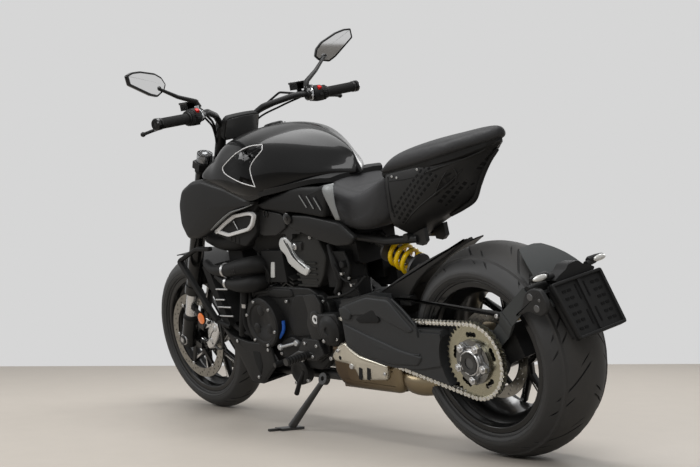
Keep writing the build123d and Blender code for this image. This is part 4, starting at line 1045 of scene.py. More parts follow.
RIDER = [
    (652, [(0, 800), (80, 800), (112, 806), (116, 838), (84, 852), (0, 858)]),
    (636, [(0, 786), (92, 786), (124, 796), (128, 842), (92, 862), (0, 870)]),
    (570, [(0, 750), (104, 750), (142, 776), (144, 836), (104, 862), (0, 868)]),
    (500, [(0, 722), (108, 722), (146, 748), (145, 822), (104, 842), (0, 844)]),
    (430, [(0, 714), (108, 714), (146, 738), (142, 810), (100, 828), (0, 828)]),
    (370, [(0, 722), (104, 722), (142, 744), (137, 822), (96, 844), (0, 842)]),
    (320, [(0, 742), (96, 742), (128, 762), (126, 850), (90, 872), (0, 872)]),
    (300, [(0, 760), (84, 760), (112, 776), (112, 850), (82, 872), (0, 876)]),
]
rider_seams = [
    ([(640, 100, 866), (560, 112, 862), (480, 112, 838), (400, 108, 830), (320, 98, 868)], 3.0, 7.0),
    ([(480, -112, 838), (478, -60, 842), (478, 0, 846), (478, 60, 842), (480, 112, 838)], 2.4, 7.0),
]
stuffed("rider_seat_cover", RIDER, "rider_seat", 4.0, rider_seams)
PILLION = [
    (318, [(0, 879), (84, 879), (104, 883), (104, 888), (70, 893), (0, 896)]),
    (300, [(0, 881), (90, 881), (111, 887), (110, 898), (74, 908), (0, 912)]),
    (262, [(0, 886), (92, 886), (113, 893), (111, 914), (74, 932), (0, 938)]),
    (150, [(0, 902), (92, 902), (113, 908), (110, 934), (72, 954), (0, 960)]),
    (20, [(0, 925), (78, 925), (98, 931), (95, 951), (62, 968), (0, 975)]),
    (-50, [(0, 938), (48, 938), (66, 943), (64, 960), (42, 975), (0, 982)]),
    (-92, [(0, 946), (24, 946), (36, 951), (35, 966), (22, 977), (0, 983)]),
    (-112, [(0, 955), (7, 955), (13, 959), (12, 968), (8, 975), (0, 978)]),
]
seam = np.array([(330, 92, 912), (270, 98, 934), (150, 97, 950), (20, 82, 962), (-84, 24, 980)], float)
pillion_seams = [(seam * (1, side, 1), 2.6, 6.0) for side in (1, -1)]
stuffed("passenger_seat_cover", PILLION, "passenger_seat", 2.0, pillion_seams)

# ---------------------------------------------------------------- tail
TAIL = [
    (300, [(0, 668), (40, 684), (88, 712), (108, 742), (112, 800), (106, 866), (80, 880), (0, 882)]),
    (286, [(0, 664), (44, 682), (94, 714), (114, 742), (117, 800), (110, 868), (90, 884), (0, 886)]),
    (205, [(0, 709), (40, 712), (84, 736), (108, 772), (113, 820), (108, 878), (90, 894), (0, 898)]),
    (132, [(0, 741), (36, 745), (78, 774), (102, 812), (107, 846), (104, 888), (86, 905), (0, 908)]),
    (36, [(0, 787), (26, 802), (48, 838), (68, 868), (80, 886), (80, 906), (66, 921), (0, 924)]),
    (-6, [(0, 845), (20, 856), (38, 874), (54, 892), (62, 904), (61, 914), (50, 927), (0, 930)]),
    (-70, [(0, 909), (10, 914), (18, 921), (26, 927), (32, 931), (32, 935), (24, 939), (0, 941)]),
    (-102, [(0, 936), (2, 937), (4, 938), (6, 939), (8, 940), (8, 942), (6, 943), (0, 944)]),
]
tail_rings = through_sections(TAIL, 5, 6)
tail_side = Side(tail_rings)
tail_paint = Paint("tail_satin", tone(34), 0.5, Specular_IOR_Level=DULL)
tx, tz = tail_paint.bike(0), tail_paint.bike(2)


def inside_band(start, end, half, low, high):
    """1 within half of the line from start to end in X and Z, between low and high along it."""
    along = unit(np.array(end, float) - np.array(start, float))
    run = (tx - float(start[0])) * float(along[0]) + (tz - float(start[1])) * float(along[1])
    off = (tz - float(start[1])) * float(along[0]) - (tx - float(start[0])) * float(along[1])
    return (abs(off) < half) * (run > low) * (run < high)


slant = inside_band((272, 742), (96, 884), 30.0, 0.0, 226.0)
rear_band = inside_band((-92, 916), (-14, 858), 14.0, 0.0, 92.0)
low_band = inside_band((120, 776), (16, 836), 13.0, 0.0, 118.0)
# The holes are the bricks of a wall that follows the slant of the flank, in metres.
across_wall = {0: tx * 0.001 * 0.78 - tz * 0.001 * 0.62, 1: tx * 0.001 * 0.62 + tz * 0.001 * 0.78}
wall = {"Vector": tail_paint.node("ShaderNodeCombineXYZ", None, across_wall), "Scale": 17.0}
wall.update({"Mortar Size": 0.07, "Mortar Smooth": 0.2, "Brick Width": 0.34, "Row Height": 0.26})
bricks = tail_paint.node("ShaderNodeTexBrick", {"offset": 0.5}, wall, 1)
holes = (1 - bricks) * (slant + rear_band + low_band).math("MINIMUM", 1.0)
tail_slow = tail_paint.noise(9.0, 4.0, 0.6)
# Painted shade: the holes are painted near black, as the shade inside them.
tail_paint.feed("Base Color", tail_paint.mix(holes, tail_paint.mix(tail_slow, tone(26), tone(36)), tone(2)))
tail_paint.feed("Roughness", 0.48 + (tail_slow - 0.5) * 0.15 + holes * 0.3)
tail_paint.bump(holes * -1.0 + tail_paint.noise(1200.0) * 0.02, 2.2)
make("tail_shell", [capped(tail_rings)], tail_paint, "tail_fairing", smooth=28)
# Ribs, the front joint and the step under the seat are beads that follow the flank.
ribs = [tube(tail_side.on(line, 0.5), radii, sides, steps, flat=flat) for line, radii, sides, steps, flat in (
    ([(258, 724), (190, 766), (116, 806), (60, 838), (14, 872)], [2.0, 4.0, 4.5, 4.0, 2.0], 10, 8, 0.6),
    ([(118, 878), (60, 890), (-30, 910), (-96, 937)], [2.5, 4.0, 3.6, 1.5], 10, 8, 0.6),
    ([(30, 884), (32, 862), (44, 842)], [2.0, 2.4, 2.0], 8, 6, 1.0),
    ([(112, 806), (74, 850), (40, 886)], [2.5, 3.2, 2.0], 8, 6, 0.6),
)]
make("tail_ribs", both(ribs), frame_grey, smooth=70)
joints = [
    tube(tail_side.on([(282, 872), (280, 820), (276, 760), (250, 722)], 0.2), 2.2, 8, 6),
    tube(tail_side.on([(276, 858), (200, 862), (120, 872), (40, 892)], 0.1), 1.6, 8, 6),
]
make("tail_joints", both(joints), rubber, smooth=70)
scoop_mouth = [(116, 800), (88, 842), (64, 858), (40, 868), (46, 842), (84, 818)]
make("tail_vents", both([laid_panel(tail_side, scoop_mouth, 0.9, 5, 4)]), rubber, smooth=60)
make("tail_screws", both(bolts(tail_side.on([(262, 872), (150, 888), (240, 868)], 1.0), 4, 2.4)), zinc)
# A narrow keel closes the tail below, and the lamp sits under the rear edge.
keel = [(150, 0, 731), (90, 0, 752), (40, 0, 776), (6, 0, 826), (-40, 0, 880), (-84, 0, 916)]
make("tail_keel", [tube(keel, [7, 8, 8, 8, 7, 5], 12, 6)], plastic, smooth=60)
lamp_line = [(-40, 14, 892), (-60, 8, 906), (-84, 0, 918), (-60, -8, 906), (-40, -14, 892)]
make("tail_lamp", [tube(lamp_line, 3.4, 10, 6)], smoked, smooth=60)
# A black tray closes the space between the pillion's base and the tail.
tray = [
    (316, [(0, 868), (96, 868), (102, 874), (102, 884), (0, 886)]),
    (150, [(0, 880), (98, 880), (104, 890), (104, 906), (0, 908)]),
    (20, [(0, 900), (70, 900), (86, 908), (86, 928), (0, 930)]),
    (-60, [(0, 920), (34, 920), (46, 928), (46, 940), (0, 942)]),
    (-98, [(0, 936), (8, 938), (12, 942), (12, 950), (0, 952)]),
]
make("pillion_tray", [capped(through_sections(tray, 1, 5))], matt, smooth=40)

# A gloss strip under the tank's flank, above the scoop and the side panel.
strip_rows = [(1172, 905, 914), (1098, 880, 905), (1020, 866, 890), (940, 842, 868), (885, 832, 862),
    (820, 846, 866), (740, 860, 872), (650, 868, 880)]


def strip_y(x):
    return 199.0 - 46 * max(0.0, (890 - x) / 240) ** 1.3 - 6 * max(0.0, (x - 1020) / 150)


strip_grid = np.array([[(x, strip_y(x), z) for z in (low, high)] for x, low, high in strip_rows])
strip_grid = np.concatenate([strip_grid[:, :1] - (0, 30, 2), strip_grid, strip_grid[:, 1:] - (0, 30, -2)], 1)
make("tank_strips", both([lattice(curve_through(strip_grid, 6))]), gloss_black, solid=2.0, smooth=50)


# ---------------------------------------------------------------- engine
heads_finish = grained("head_casting", tone(44, 44, 43), 0.5, 520.0, 0.12, 0.35)
case_finish = grained("case_casting", tone(34, 34, 34), 0.5, 480.0, 0.12, 0.3)
bronze = Paint("heated_titanium", tone(150, 134, 104), 0.34, 1.0)
heat = bronze.noise(9.0, 3.0, 0.6)
run_x = bronze.bike(0)
warm = bronze.mix((run_x - 250.0) * (1 / 380.0) + (heat - 0.5) * 0.35, tone(132, 120, 98), tone(88, 74, 58))
bronze.feed("Base Color", warm)
bronze.feed("Roughness", 0.3 + (heat - 0.5) * 0.14)
bronze.bump(bronze.noise(420.0, 3.0) * 0.5, 0.02)


def ridge_plate(line, width, low, high, reach=6.0):
    """A strip of even width along a line of X and Z points, as a plate with rounded edges."""
    line = curve_through(np.asarray(line, float), 6)
    along = unit(np.gradient(line, axis=0))
    off = np.stack([-along[:, 1], along[:, 0]], -1) * width / 2
    return pillow(np.concatenate([line + off, (line - off)[::-1]]), low, high, reach / 2, reach / 2, 0, 0)


band_silver = grained("band_silver", tone(206, 208, 208), 0.36, 600.0, 0.02, 0.55, 0.06)
rear_head = [(724, 729), (838, 699), (862, 672), (856, 640), (800, 560), (788, 520), (704, 520), (668, 560),
    (640, 620), (664, 690)]
front_head = [(985, 521), (1000, 575), (1098, 590), (1165, 550), (1172, 440), (1110, 420), (1085, 500)]
head_pieces = both([pillow(rear_head, 60, 123, 6, 6, 0, 12), pillow(front_head, 60, 108, 6, 6, 0, 12)])
for i in range(5):
    x, z = 3 * i, 604 - 19 * i
    fin = [(800 + x, z - 3), (800 + x, z + 3), (690 + x, z + 3), (690 + x, z - 3)]
    head_pieces += both([slab(softened(fin, 3, 2), 60, 129 - i)])
for i in range(4):
    peak, z = 884 + 4 * i, 556 - 14 * i
    fin = [(922, z - 12), (peak, z + 6), (846, z - 12), (846, z - 17), (peak, z + 1), (922, z - 17)]
    head_pieces += both([slab(fin, 60, 117)])
make("head_castings", head_pieces, heads_finish, "cylinder_heads", bevel=1.2)
band_line = [(871, 673), (856, 692), (824, 695), (802, 676), (803, 640), (786, 622), (740, 598), (724, 584),
    (748, 560), (780, 570), (836, 604), (842, 630), (869, 650)]
covers = [pillow(band_line, 116, 134, 6, 6, 1.5, 10)]
covers += [slab(softened([(938, 606), (918, 606), (933, 552), (955, 552)], 4, 3), 96, 129)]
make("head_cover_bands", both(covers), band_silver, smooth=50)
groove, groove_step = np.array([(826, 678), (808, 650), (788, 620), (750, 594)]), np.array([7.0, 5.0])
grooves = [tube(stood(curve_through(groove + groove_step * side, 4), 135.8), 1.6, 6, smooth=False)
    for side in (-1, 1)]
make("head_cover_grooves", both(grooves), cast_dark)
recess = [
    pillow([(800, 676), (746, 676), (755, 645), (809, 645)], 120, 127.4, 3, 3, 0, 6),
    pillow([(757, 672), (748, 672), (754, 650), (763, 650)], 120, 130, 2, 2, 0, 2),
]
make("head_recesses", both(recess), cast_dark, smooth=40)
plug = [turned([(11, 0), (11, 5), (8, 7), (6, 7), (5, 2), (0, 2)], (785, 127, 660), ACROSS, 28)]
plug += bolts([(838, 126, 640), (820, 123, 596), (700, 123, 690), (1120, 108, 470)], 6, 6)
make("head_plugs", both(plug), zinc)

case_outline = [(1080, 330), (1110, 420), (1080, 500), (980, 518), (760, 518), (672, 470), (672, 304),
    (760, 236), (1000, 236)]
case = [pillow(case_outline, side * 90, side * 120.5, 8, 6, 0, 16) for side in (1, -1)]
case += [ridge_plate([(1084, 352), (1104, 420), (1078, 486), (984, 502)], 9, 112, 127, 4)]
case += [pillow(*plate) for plate in (
    ([(972, 272), (930, 262), (862, 262), (832, 288), (846, 330), (890, 348), (946, 336), (970, 310)],
        112, 133, 7, 7, 2, 10),
    ([(760, 262), (700, 296), (688, 340), (720, 352), (800, 348), (826, 314), (810, 270)],
        112, 131, 6, 6, 1, 10),
    ([(1010, 500), (966, 512), (860, 512), (852, 486), (940, 478), (1000, 482)], 108, 126, 5, 5, 0, 8),
    ([(840, 494), (688, 498), (680, 470), (700, 430), (724, 356), (880, 344), (905, 380), (896, 440)],
        108, 126, 6, 6, 1, 14),
)]
make("crankcase_castings", case, case_finish, "crankcase", smooth=45)

GENERATOR, CLUTCH, PUMP, PIVOT = (1020, 0, 395), (900, 0, 420), (880, 0, 226), (714, 0, 420)
button = [(0, 154.6), (15, 154.6), (20, 151), (20, 140)]
engine_covers = [turned(profile, spot, ACROSS, sides) for profile, spot, sides in (
    ([(0, 148), (24, 148), (28, 151), (44, 151), (48, 153.5), (66, 153.5), (70, 158), (84, 158), (89, 153),
        (89, 112)], GENERATOR, 72),
    *[(button, at(GENERATOR, 44, turn, 0), 28) for turn in (90, 210, 330)],
    ([(0, -162), (60, -162), (66, -168), (84, -168), (95, -160), (95, -112)], CLUTCH, 64),
    ([(0, 166), (12, 166), (14, 170), (34, 170), (38, 167), (50, 160), (50, 140)], (640, 0, 388), 48),
    ([(0, 134), (20, 134), (26, 138), (42, 138), (47, 134), (47, 108)], PUMP, 48),
)]
sprocket_cover = [(700, 440), (600, 446), (588, 380), (610, 336), (676, 334), (712, 380)]
engine_covers += [pillow(sprocket_cover, 132, 158, 8, 8, 1, 14)]
engine_covers += [tube([(852, 132, 228), (880, 140, 190), (917, 136, 145)], [9, 8, 9], 12)]
make("engine_cover_castings", engine_covers, case_finish, "engine_covers", smooth=40)
case_bolts = [
    (1075, 127, 431), (962, 132, 285), (905, 132, 262), (840, 132, 318), (782, 130, 291), (712, 130, 340),
    (730, 128, 322), (686, 127, 477), (640, 158, 424), (606, 158, 362), (676, 158, 352), (890, 126, 470),
]
cover_bolts = bolts([at(GENERATOR, 79, turn, 158) for turn in (20, 75, 140, 200, 255, 310)], 5.6, 6)
cover_bolts += bolts([at(PUMP, 51, turn, 130) for turn in (35, 125, 215, 305)], 6.5, 7)
cover_bolts += bolts(case_bolts, 6, 6)
cover_bolts += bolts([at(CLUTCH, 88, turn, -166) for turn in range(0, 360, 45)], 5, 5, -ACROSS)
make("engine_bolts", cover_bolts, zinc)
for name, profile, paint in (
    ("pivot_rings", [(16, 150), (16, 153), (24, 154), (28, 152), (28, 140)], gloss_black),
    ("pivot_bands", [(8, 150), (8, 154), (14, 154.6), (16, 152), (16, 150)], white_ring),
):
    make(name, both([turned(profile, PIVOT, ACROSS, 40)]), paint)
pivot_plate = [(764, 500), (700, 506), (676, 470), (690, 400), (700, 352), (756, 344), (770, 400), (752, 440)]
make("pivot_plates", both([pillow(pivot_plate, 141, 150, 3, 3, 0, 10)]), frame_grey, smooth=45)

# The coolant elbows: two swelling black bends into the front cylinder, with their clips.
front_elbow = [(1305, 150, 604), (1240, 166, 584), (1160, 168, 584), (1080, 160, 594), (1010, 140, 600),
    (1000, 106, 592)]
low_elbow = [(1250, 150, 560), (1180, 160, 536), (1100, 160, 530), (1030, 146, 534), (1016, 106, 534)]
elbows = [tube(front_elbow, [15, 18, 23, 29, 31, 27], 24, 8), tube(low_elbow, [14, 18, 26, 29, 27], 24, 8)]
make("coolant_elbows", elbows, matt, smooth=60)
clips = [
    turned([(23.5, -6), (25.5, -6), (25.5, 6), (23.5, 6)], (1160, 168, 584), (1, 0, 0), 32),
    turned([(19, -6), (22.5, -6), (22.5, 6), (19, 6)], (1172, 160, 536), (1, 0, 0.08), 32),
]
make("coolant_clips", clips, zinc)
drain = [
    tube([(1106, 136, 512), (1118, 144, 460), (1138, 142, 384), (1120, 132, 330)], 9, 16, 8),
    tube([(1096, 128, 512), (1092, 134, 460), (1084, 130, 420)], 6, 12, 6),
    tube([(1290, 118, 420), (1230, 132, 372), (1160, 136, 350), (1096, 134, 344)], 8, 14, 6),
]
make("coolant_hoses", drain, rubber)
hose_band = turned([(9, -7), (11.4, -7), (11.4, 7), (9, 7)], (1121, 144.4, 452), (0.2, 0, -1), 24)
make("hose_bands", [hose_band], zinc)
strut_ends = ((1264, 510, 1190, 511), (1277, 471, 1222, 472), (1273, 444, 1190, 445), (1271, 411, 1186, 413))
struts = [tube([(x, 157, z), (rear_x, 157, rear_z)], 3.6, 8, smooth=False)
    for x, z, rear_x, rear_z in strut_ends]
make("radiator_struts", struts, zinc, bevel=1.0)

# The radiator: a core of thin upright fins between side tanks, in its two ribbed surround bars.
tilt = math.radians(20)
fore, rise = np.array([math.cos(tilt), 0, -math.sin(tilt)]), np.array([math.sin(tilt), 0, math.cos(tilt)])
CORE = np.array([1280.0, 0.0, 482.0])


def core_block(centre, size, up=rise):
    return block(centre, size, fore, up)


core = [core_block(CORE, (26, 262, 226))]
core += [core_block(CORE + ACROSS * (3.6 * i) + fore * 14, (3.4, 0.9, 222)) for i in range(-36, 37)]
make("radiator_core", core, dark_steel)
bar_top = [(1466, 611), (1452, 624), (1330, 666), (1240, 666), (1240, 652), (1330, 652), (1446, 611)]
bar_side = [(1467, 610), (1452, 622), (1274, 398), (1288, 386)]
bars = [pillow(outline, 158, 176, 4, 4, 0, 6) for outline in (bar_top, bar_side)]
pipes = [tube([(1288, 166, 394), (1262, 160, 384), (1226, 152, 372)], [8, 8, 9], 14, 6)]
fan = [turned(profile, CORE - fore * 40, fore, sides) for profile, sides in (
    ([(46, 0), (50, 0), (50, 22), (46, 22)], 48), ([(0, 20), (14, 20), (16, 0), (0, 0)], 32))]
for turn in np.radians(range(0, 360, 45)):
    outward = math.cos(turn) * ACROSS + math.sin(turn) * rise
    fan.append(core_block(CORE - fore * 30 + 30 * outward, (4, 10, 34), outward))
tanks = [core_block(CORE + ACROSS * side * 140, (34, 24, 240)) for side in (-1, 1)]
make("radiator_surround", tanks + both(bars) + both(pipes) + fan, plastic, "radiator", bevel=0.8)
pan = [(1286, 380), (1215, 336), (1130, 322), (1000, 320), (985, 248), (1080, 174), (1150, 174), (1212, 282)]
slit = [(1108, 292), (1064, 288), (1062, 240), (1084, 202), (1104, 250)]
make("belly_pan_slits", both([pillow(slit, 150, 156.4, 2, 2, 0, 6)]), rubber, smooth=40)
make("belly_pan_skins", both([pillow(pan, 144, 153.5, 5, 6, 2, 14)]), satin, smooth=50)
make("belly_pan_bolts", both(bolts([(1190, 155, 322), (1010, 155, 300), (1096, 155, 196)], 6, 4)), zinc)

# ---------------------------------------------------------------- exhaust
shield_outline = [(606, 342), (570, 352), (548, 337), (504, 315), (439, 302), (376, 290), (392, 240),
    (512, 230), (528, 236), (540, 262), (572, 280), (640, 286), (650, 306)]
shield_metal = grained("shield_titanium", tone(192, 187, 174), 0.36, 300.0, 0.02, 0.9, 0.14)
make("silencer_shield", [pillow(shield_outline, 146, 161, 9, 9, 2, 8, 7)], shield_metal, smooth=60)
body_outline = [(674, 340), (676, 240), (650, 206), (622, 192), (560, 190), (457, 190), (360, 190),
    (342, 214), (346, 290), (520, 304), (600, 350)]
silencer = [pillow(body_outline, 100, 146, 26, 26, 0, 20, 7), pillow(body_outline, -100, -120, 18, 16, 0, 16)]
make("silencer_body", silencer, bronze, smooth=60)
silencer_slots = [block((x, 163.4, z), (15, 2.4, 40), (0.97, 0, 0.24), (-0.24, 0, 0.97))
    for x, z in ((511, 254), (470, 256))]
silencer_slots += [turned([(0, 164), (5, 164), (7, 162)], (604, 0, 300), ACROSS, 20)]
make("shield_slots", silencer_slots, rubber, bevel=0.6)
shield_line = stood([(600, 336), (570, 345), (548, 330), (504, 308), (439, 296), (380, 284)], 156)
make("shield_ridge", [tube(shield_line, [5, 7, 9, 9, 8, 5], 14, 8, flat=0.8)], shield_metal, smooth=60)
boss = [turned([(0, 165), (8, 165), (10, 161), (10, 150)], (552, 0, 275), ACROSS, 28)]
boss += bolts([(608, 160, 324), (663, 150, 292)], 7, 7) + bolts([(392, 160, 262)], 6, 5)
make("shield_bolts", boss, zinc)
muffler_axis = unit(np.array([-180.0, -4, 30]))
muffler_bands = [turned([(61, -half), (63, -half), (63, half), (61, half)], spot, muffler_axis, 56)
    for half, spot in ((5, (180, -198, 310)), (4, (262, -196, 294)))]
make("muffler_bands", muffler_bands, dark_steel)

# ---------------------------------------------------------------- what fills the frame
# The airbox over the heads, the throttle bodies between them and the boxes behind them, under the panels.
airbox = [
    (1100, [(0, 640), (70, 640), (96, 660), (100, 780), (0, 800)]),
    (1000, [(0, 610), (96, 610), (118, 640), (120, 800), (0, 830)]),
    (860, [(0, 640), (96, 640), (112, 690), (116, 800), (0, 830)]),
    (700, [(0, 700), (84, 700), (104, 720), (108, 790), (0, 800)]),
    (600, [(0, 600), (70, 600), (84, 620), (90, 740), (0, 744)]),
    (520, [(0, 590), (66, 590), (80, 600), (86, 700), (0, 704)]),
]
make("airbox", [capped(through_sections(airbox, 1, 4))], matt, smooth=40)
ducts = both([
    tube([(1290, 120, 700), (1210, 120, 680), (1120, 110, 676), (1040, 96, 690)], [30, 34, 34, 30], 20, 6),
    block((930, 96, 590), (120, 60, 110)), block((610, 74, 580), (110, 70, 120)),
    block((560, 84, 520), (90, 50, 60)),
    tube([(640, 96, 660), (610, 112, 600), (600, 110, 540), (640, 100, 500)], 13, 14, 6),
    tube([(560, 104, 640), (540, 112, 590), (560, 116, 540)], 6, 10, 6),
])
make("engine_ducts", ducts, matt, bevel=6.0, smooth=50)
coils = both([
    turned([(0, 118), (11, 118), (14, 115), (14, 96)], (966, 0, 640), ACROSS, 24),
    turned([(0, 128), (9, 128), (12, 125), (12, 96)], (560, 0, 600), ACROSS, 24),
    block((600, 112, 560), (30, 20, 18)),
])
make("engine_plugs", coils, plastic, bevel=1.0)
wires = both([
    tube([(1010, 126, 640), (980, 134, 600), (960, 130, 560), (980, 124, 530)], 3.4, 8, 6),
    tube([(600, 124, 600), (560, 134, 560), (520, 130, 540), (500, 120, 500)], 3.2, 8, 6),
    tube([(470, 110, 560), (520, 126, 520), (580, 134, 500), (650, 134, 492)], 4.2, 8, 6),
])
make("engine_wires", wires, rubber)
engine_clips = [block((560, 128, 572), (10, 12, 8)), block((520, 128, 536), (9, 12, 9))]
make("engine_clips", both(engine_clips + bolts([(586, 132, 506), (540, 118, 556)], 5, 5)), zinc, bevel=0.8)

# The blue breather hose below the generator, and the crossing pipe that swells towards the muffler.
breather = [tube([(918, 136, 402), (922, 138, 372), (946, 138, 348), (980, 136, 330)], 6.0, 14, 8)]
make("breather_hose", breather, hose_blue, smooth=60)
bulge = [(390, 60, 236), (340, 92, 232), (290, 98, 226), (240, 84, 226), (206, 52, 232)]
make("silencer_bulge", [tube(bulge, [30, 40, 42, 38, 26], 28, 8)], bronze, smooth=60)
pipe = [(1112, 138, 520), (1124, 140, 470), (1160, 140, 380), (1176, 138, 340)]
make("coolant_pipe", [tube(pipe, [15, 15, 14, 14], 20, 6)], matt, smooth=60)
pores = []
for row in range(3):
    for column in range(5):
        spot = (1126 - 11 * column, 189.4 - 1.4 * abs(row - 1) ** 2, 600 - 11 * row)
        pores.append(turned([(0, 0.6), (2.6, 0.6), (2.6, -2)], spot, ACROSS, 10))
make("elbow_pores", pores, cast_dark)

# A dark box between the radiator and the scoops, behind the elbows.
boxes = [block((1180, 0, 650), (90, 210, 110)), block((1160, 0, 745), (90, 250, 100))]
make("radiator_box", boxes, matt, bevel=4.0)


# ---------------------------------------------------------------- swingarm, hugger and shock absorber
crease = [
    tube([(300, 162, 506), (250, 164, 470), (209, 164, 428), (206, 163, 390)], [3, 4, 4, 3], 10, 6, flat=0.6),
    tube([(556, 161, 352), (439, 163, 366), (354, 164, 346), (300, 163, 330), (210, 163, 336)],
        [3, 4, 4, 4, 3], 10, 6, flat=0.6),
]
arm_low = [(554, 348), (452, 312), (340, 296), (224, 300), (200, 330), (300, 346), (392, 372), (440, 384),
    (556, 420)]
arm_high = [(554, 472), (420, 508), (320, 502), (220, 408), (246, 400), (330, 430), (382, 480), (480, 448),
    (554, 440)]
arm_skin = [pillow(outline, 156, 167, 6, 6, 1, 12) for outline in (arm_low, arm_high)]
make("swingarm_skins", arm_skin + crease, arm_satin, smooth=55)
window = [(484, 436), (470, 444), (398, 470), (386, 468), (368, 436), (376, 428), (470, 424)]
make("swingarm_window", [pillow(window, 160, 168.4, 3, 3, 0, 5)], rubber, smooth=40)
hub_ring = [(78, 100), (80, 102), (80, 121), (72, 123), (68, 123)]
make("swingarm_hub_rings", [turned(hub_ring, (0, 0, REAR_AXLE[2]), ACROSS, 64)], satin)
strip = [(318, 500), (256, 500), (-124, 464), (-138, 454), (-136, 472), (118, 492)]
cheek = [(430, 500), (319, 552), (217, 598), (87, 644), (-20, 682), (66, 634), (160, 590), (214, 556),
    (258, 516), (276, 484)]
hugger = [pillow(cheek, 108, 119, 4, 8, 0, 8), pillow(strip, 128, 133, 2, 3, 0, 4)]
make("hugger_cheek", hugger, frame_grey, smooth=50)
make("hugger_bolts", bolts([(-112, 133, 462)], 6.5, 5), zinc)
pad = [(560, 470), (520, 474), (500, 452), (516, 430), (556, 436)]
make("swingarm_pads", [pillow(pad, 158, 170, 4, 4, 0, 8)], arm_satin)

# Near black for the board's slots: painted shade where the board's holes would show dark.
slot_shade_paint = grained("plate_slots", tone(4), 0.9, 500.0, 0.0)
flap_plastic = grained("flap_plastic", tone(58, 60, 60), 0.6, 700.0, 0.04)
# ---------------------------------------------------------------- plate bracket, holder and indicators
cast_plate = [(-206, 470), (-236, 496), (-259, 540), (-286, 552), (-316, 548), (-334, 512), (-330, 488),
    (-306, 474), (-262, 486)]
make("plate_casting", [pillow(cast_plate, 146, 159, 4, 4, 0, 10)], frame_grey, smooth=45)
bores = [turned([(0, 160.4), (wide, 160.4), (rim, 158.6)], (x, 0, z), ACROSS, sides)
    for wide, rim, x, z, sides in ((9, 11, -275, 527, 24), (9, 11, -294, 496, 24), (4, 5, -308, 519, 16))]
make("plate_bores", bores, cast_grey)


def indicator(side):
    """An indicator's housing: a flat oval that reaches sideways, thicker at its root."""
    angle = np.linspace(0, 2 * np.pi, 20, endpoint=False)
    rings = []
    for step, deep, tall in ((-34, 9, 8), (-28, 12, 11), (4, 12, 11), (26, 9, 9), (34, 5, 5)):
        outline = np.stack([-281 + deep * np.cos(angle), 573 + tall * np.sin(angle)], -1)
        rings.append(stood(outline, side * (120.0 + step)))
    return capped(np.array(rings))


slope = math.radians(23.7)
board_up = np.array([math.sin(slope), 0.0, math.cos(slope)])
board_out = np.array([-math.cos(slope), 0.0, math.sin(slope)])
board_spot = np.array([-342.0, 0.0, 475.0])
board_line = softened(np.array([(112, 82), (-96, 82), (-95, -86), (100, -86)], float), 8, 4)


def on_board(outline, height):
    """Points of the board's plane: across and up it, height above it."""
    return board_spot + outline[:, :1] * ACROSS + outline[:, 1:] * board_up + board_out * height


def board_block(across, rise, height, size):
    return block(board_spot + board_out * height + ACROSS * across + board_up * rise, size, ACROSS, board_up)


rim_steps = ((0, -12), (0, 7), (2, 9), (7, 9), (9, 7), (9, -12), (0, -12))
rim_rings = [on_board(inwards(board_line, inset), height) for inset, height in rim_steps]
board = [
    prism(board_line, board_spot - board_out * 8, ACROSS, board_up, board_out * 8),
    lattice(np.array(rim_rings), False, True),
    prism(inwards(board_line, 14), board_spot - board_out * 34, ACROSS, board_up, board_out * 28),
    board_block(4, 0, 3, (12, 5, 150)),
]
holder = [tube([(-262, 150, 540), (-262, 80, 542)], 15, 24, smooth=False)]
block_line = [(84, 556), (66, 566), (36, 576), (20, 590), (-20, 590), (-36, 576), (-66, 566), (-84, 556),
    (-66, 543), (66, 543)]
top_block = prism(softened(block_line, 6, 3), (-262, 0, 0), ACROSS, (0, 0, 1), (-44, 0, 0))
stalks = [tube([(-286, side * 70, 566), (-283, side * 112, 567)], [9, 7], 16, 4) for side in (-1, 1)]
shells = [indicator(side) for side in (-1, 1)]
make("plate_board", board + holder + [top_block] + stalks + shells, plastic, "plate_holder", bevel=1.0)
# The slots are thin near black plates on the board, painted shade in place of holes.
slots = [board_block(across, -58 + 22 * row, 0.6, (14, 1.6, 7))
    for row in range(6) for across in (-66, -46, 52, 72)]
slots += [board_block(across, rise, 0.6, (5, 1.6, 44)) for rise in (40, -36) for across in (-14, 22)]
make("plate_slots", slots, slot_shade_paint)
lenses = []
angle = np.linspace(0, 2 * np.pi, 24, endpoint=False)
for side in (-1, 1):
    rim = np.stack([np.full(24, -288.0), side * 124 + 27 * np.cos(angle), 573 + 8.4 * np.sin(angle)], -1)
    middle = rim.mean(0)
    dome = [middle + (rim - middle) * share + (-height, 0, 0) for share, height in ((0.96, 6), (0.7, 8.5))]
    lenses.append(capped(np.array([rim] + dome)))
make("indicator_lenses", lenses, lens_clear, smooth=70)

# ---------------------------------------------------------------- rear caliper, foot controls and stand
loops = [
    tube([(-96, 60, 380), (-116, 74, 404), (-126, 84, 396), (-112, 90, 372), (-88, 84, 352)], 3.2, 8),
    tube([(-84, 60, 396), (-98, 72, 424), (-92, 84, 440), (-66, 90, 436)], 3.2, 8),
]
make("rear_brake_hoses", loops, rubber)
peg_rib = [(11, 0), (13.4, 2), (13.4, 6), (11, 8)]
peg = [turned(peg_rib, (790, 160 + 12 * i, 296), ACROSS, 20) for i in range(7)]
make("foot_pegs", both(peg), rubber, bevel=0.5)
peg_pads = [tube([(930, 150, 262), (930, 194, 262)], 9.5, 20, smooth=False)]
make("lever_pads", both(peg_pads), rubber)
foot_plate = [(838, 312), (802, 352), (722, 350), (702, 300), (750, 277), (800, 277), (822, 296)]
make("foot_plates", both([pillow(foot_plate, 148, 153, 3, 3, 0, 8)]), cast_dark, smooth=40)
make("foot_bolts", both(bolts([(730, 153, 330), (792, 153, 336), (760, 153, 292)], 6, 5)), zinc)
link_bar = [tube([(939, 152, 313), (842, 150, 333)], 5.5, 12, smooth=False)]
link_bar += [turned([(0, 158), (9, 158), (11, 155), (11, 148)], (x, 0, z), ACROSS, 24)
    for x, z in ((939, 313), (842, 333))]
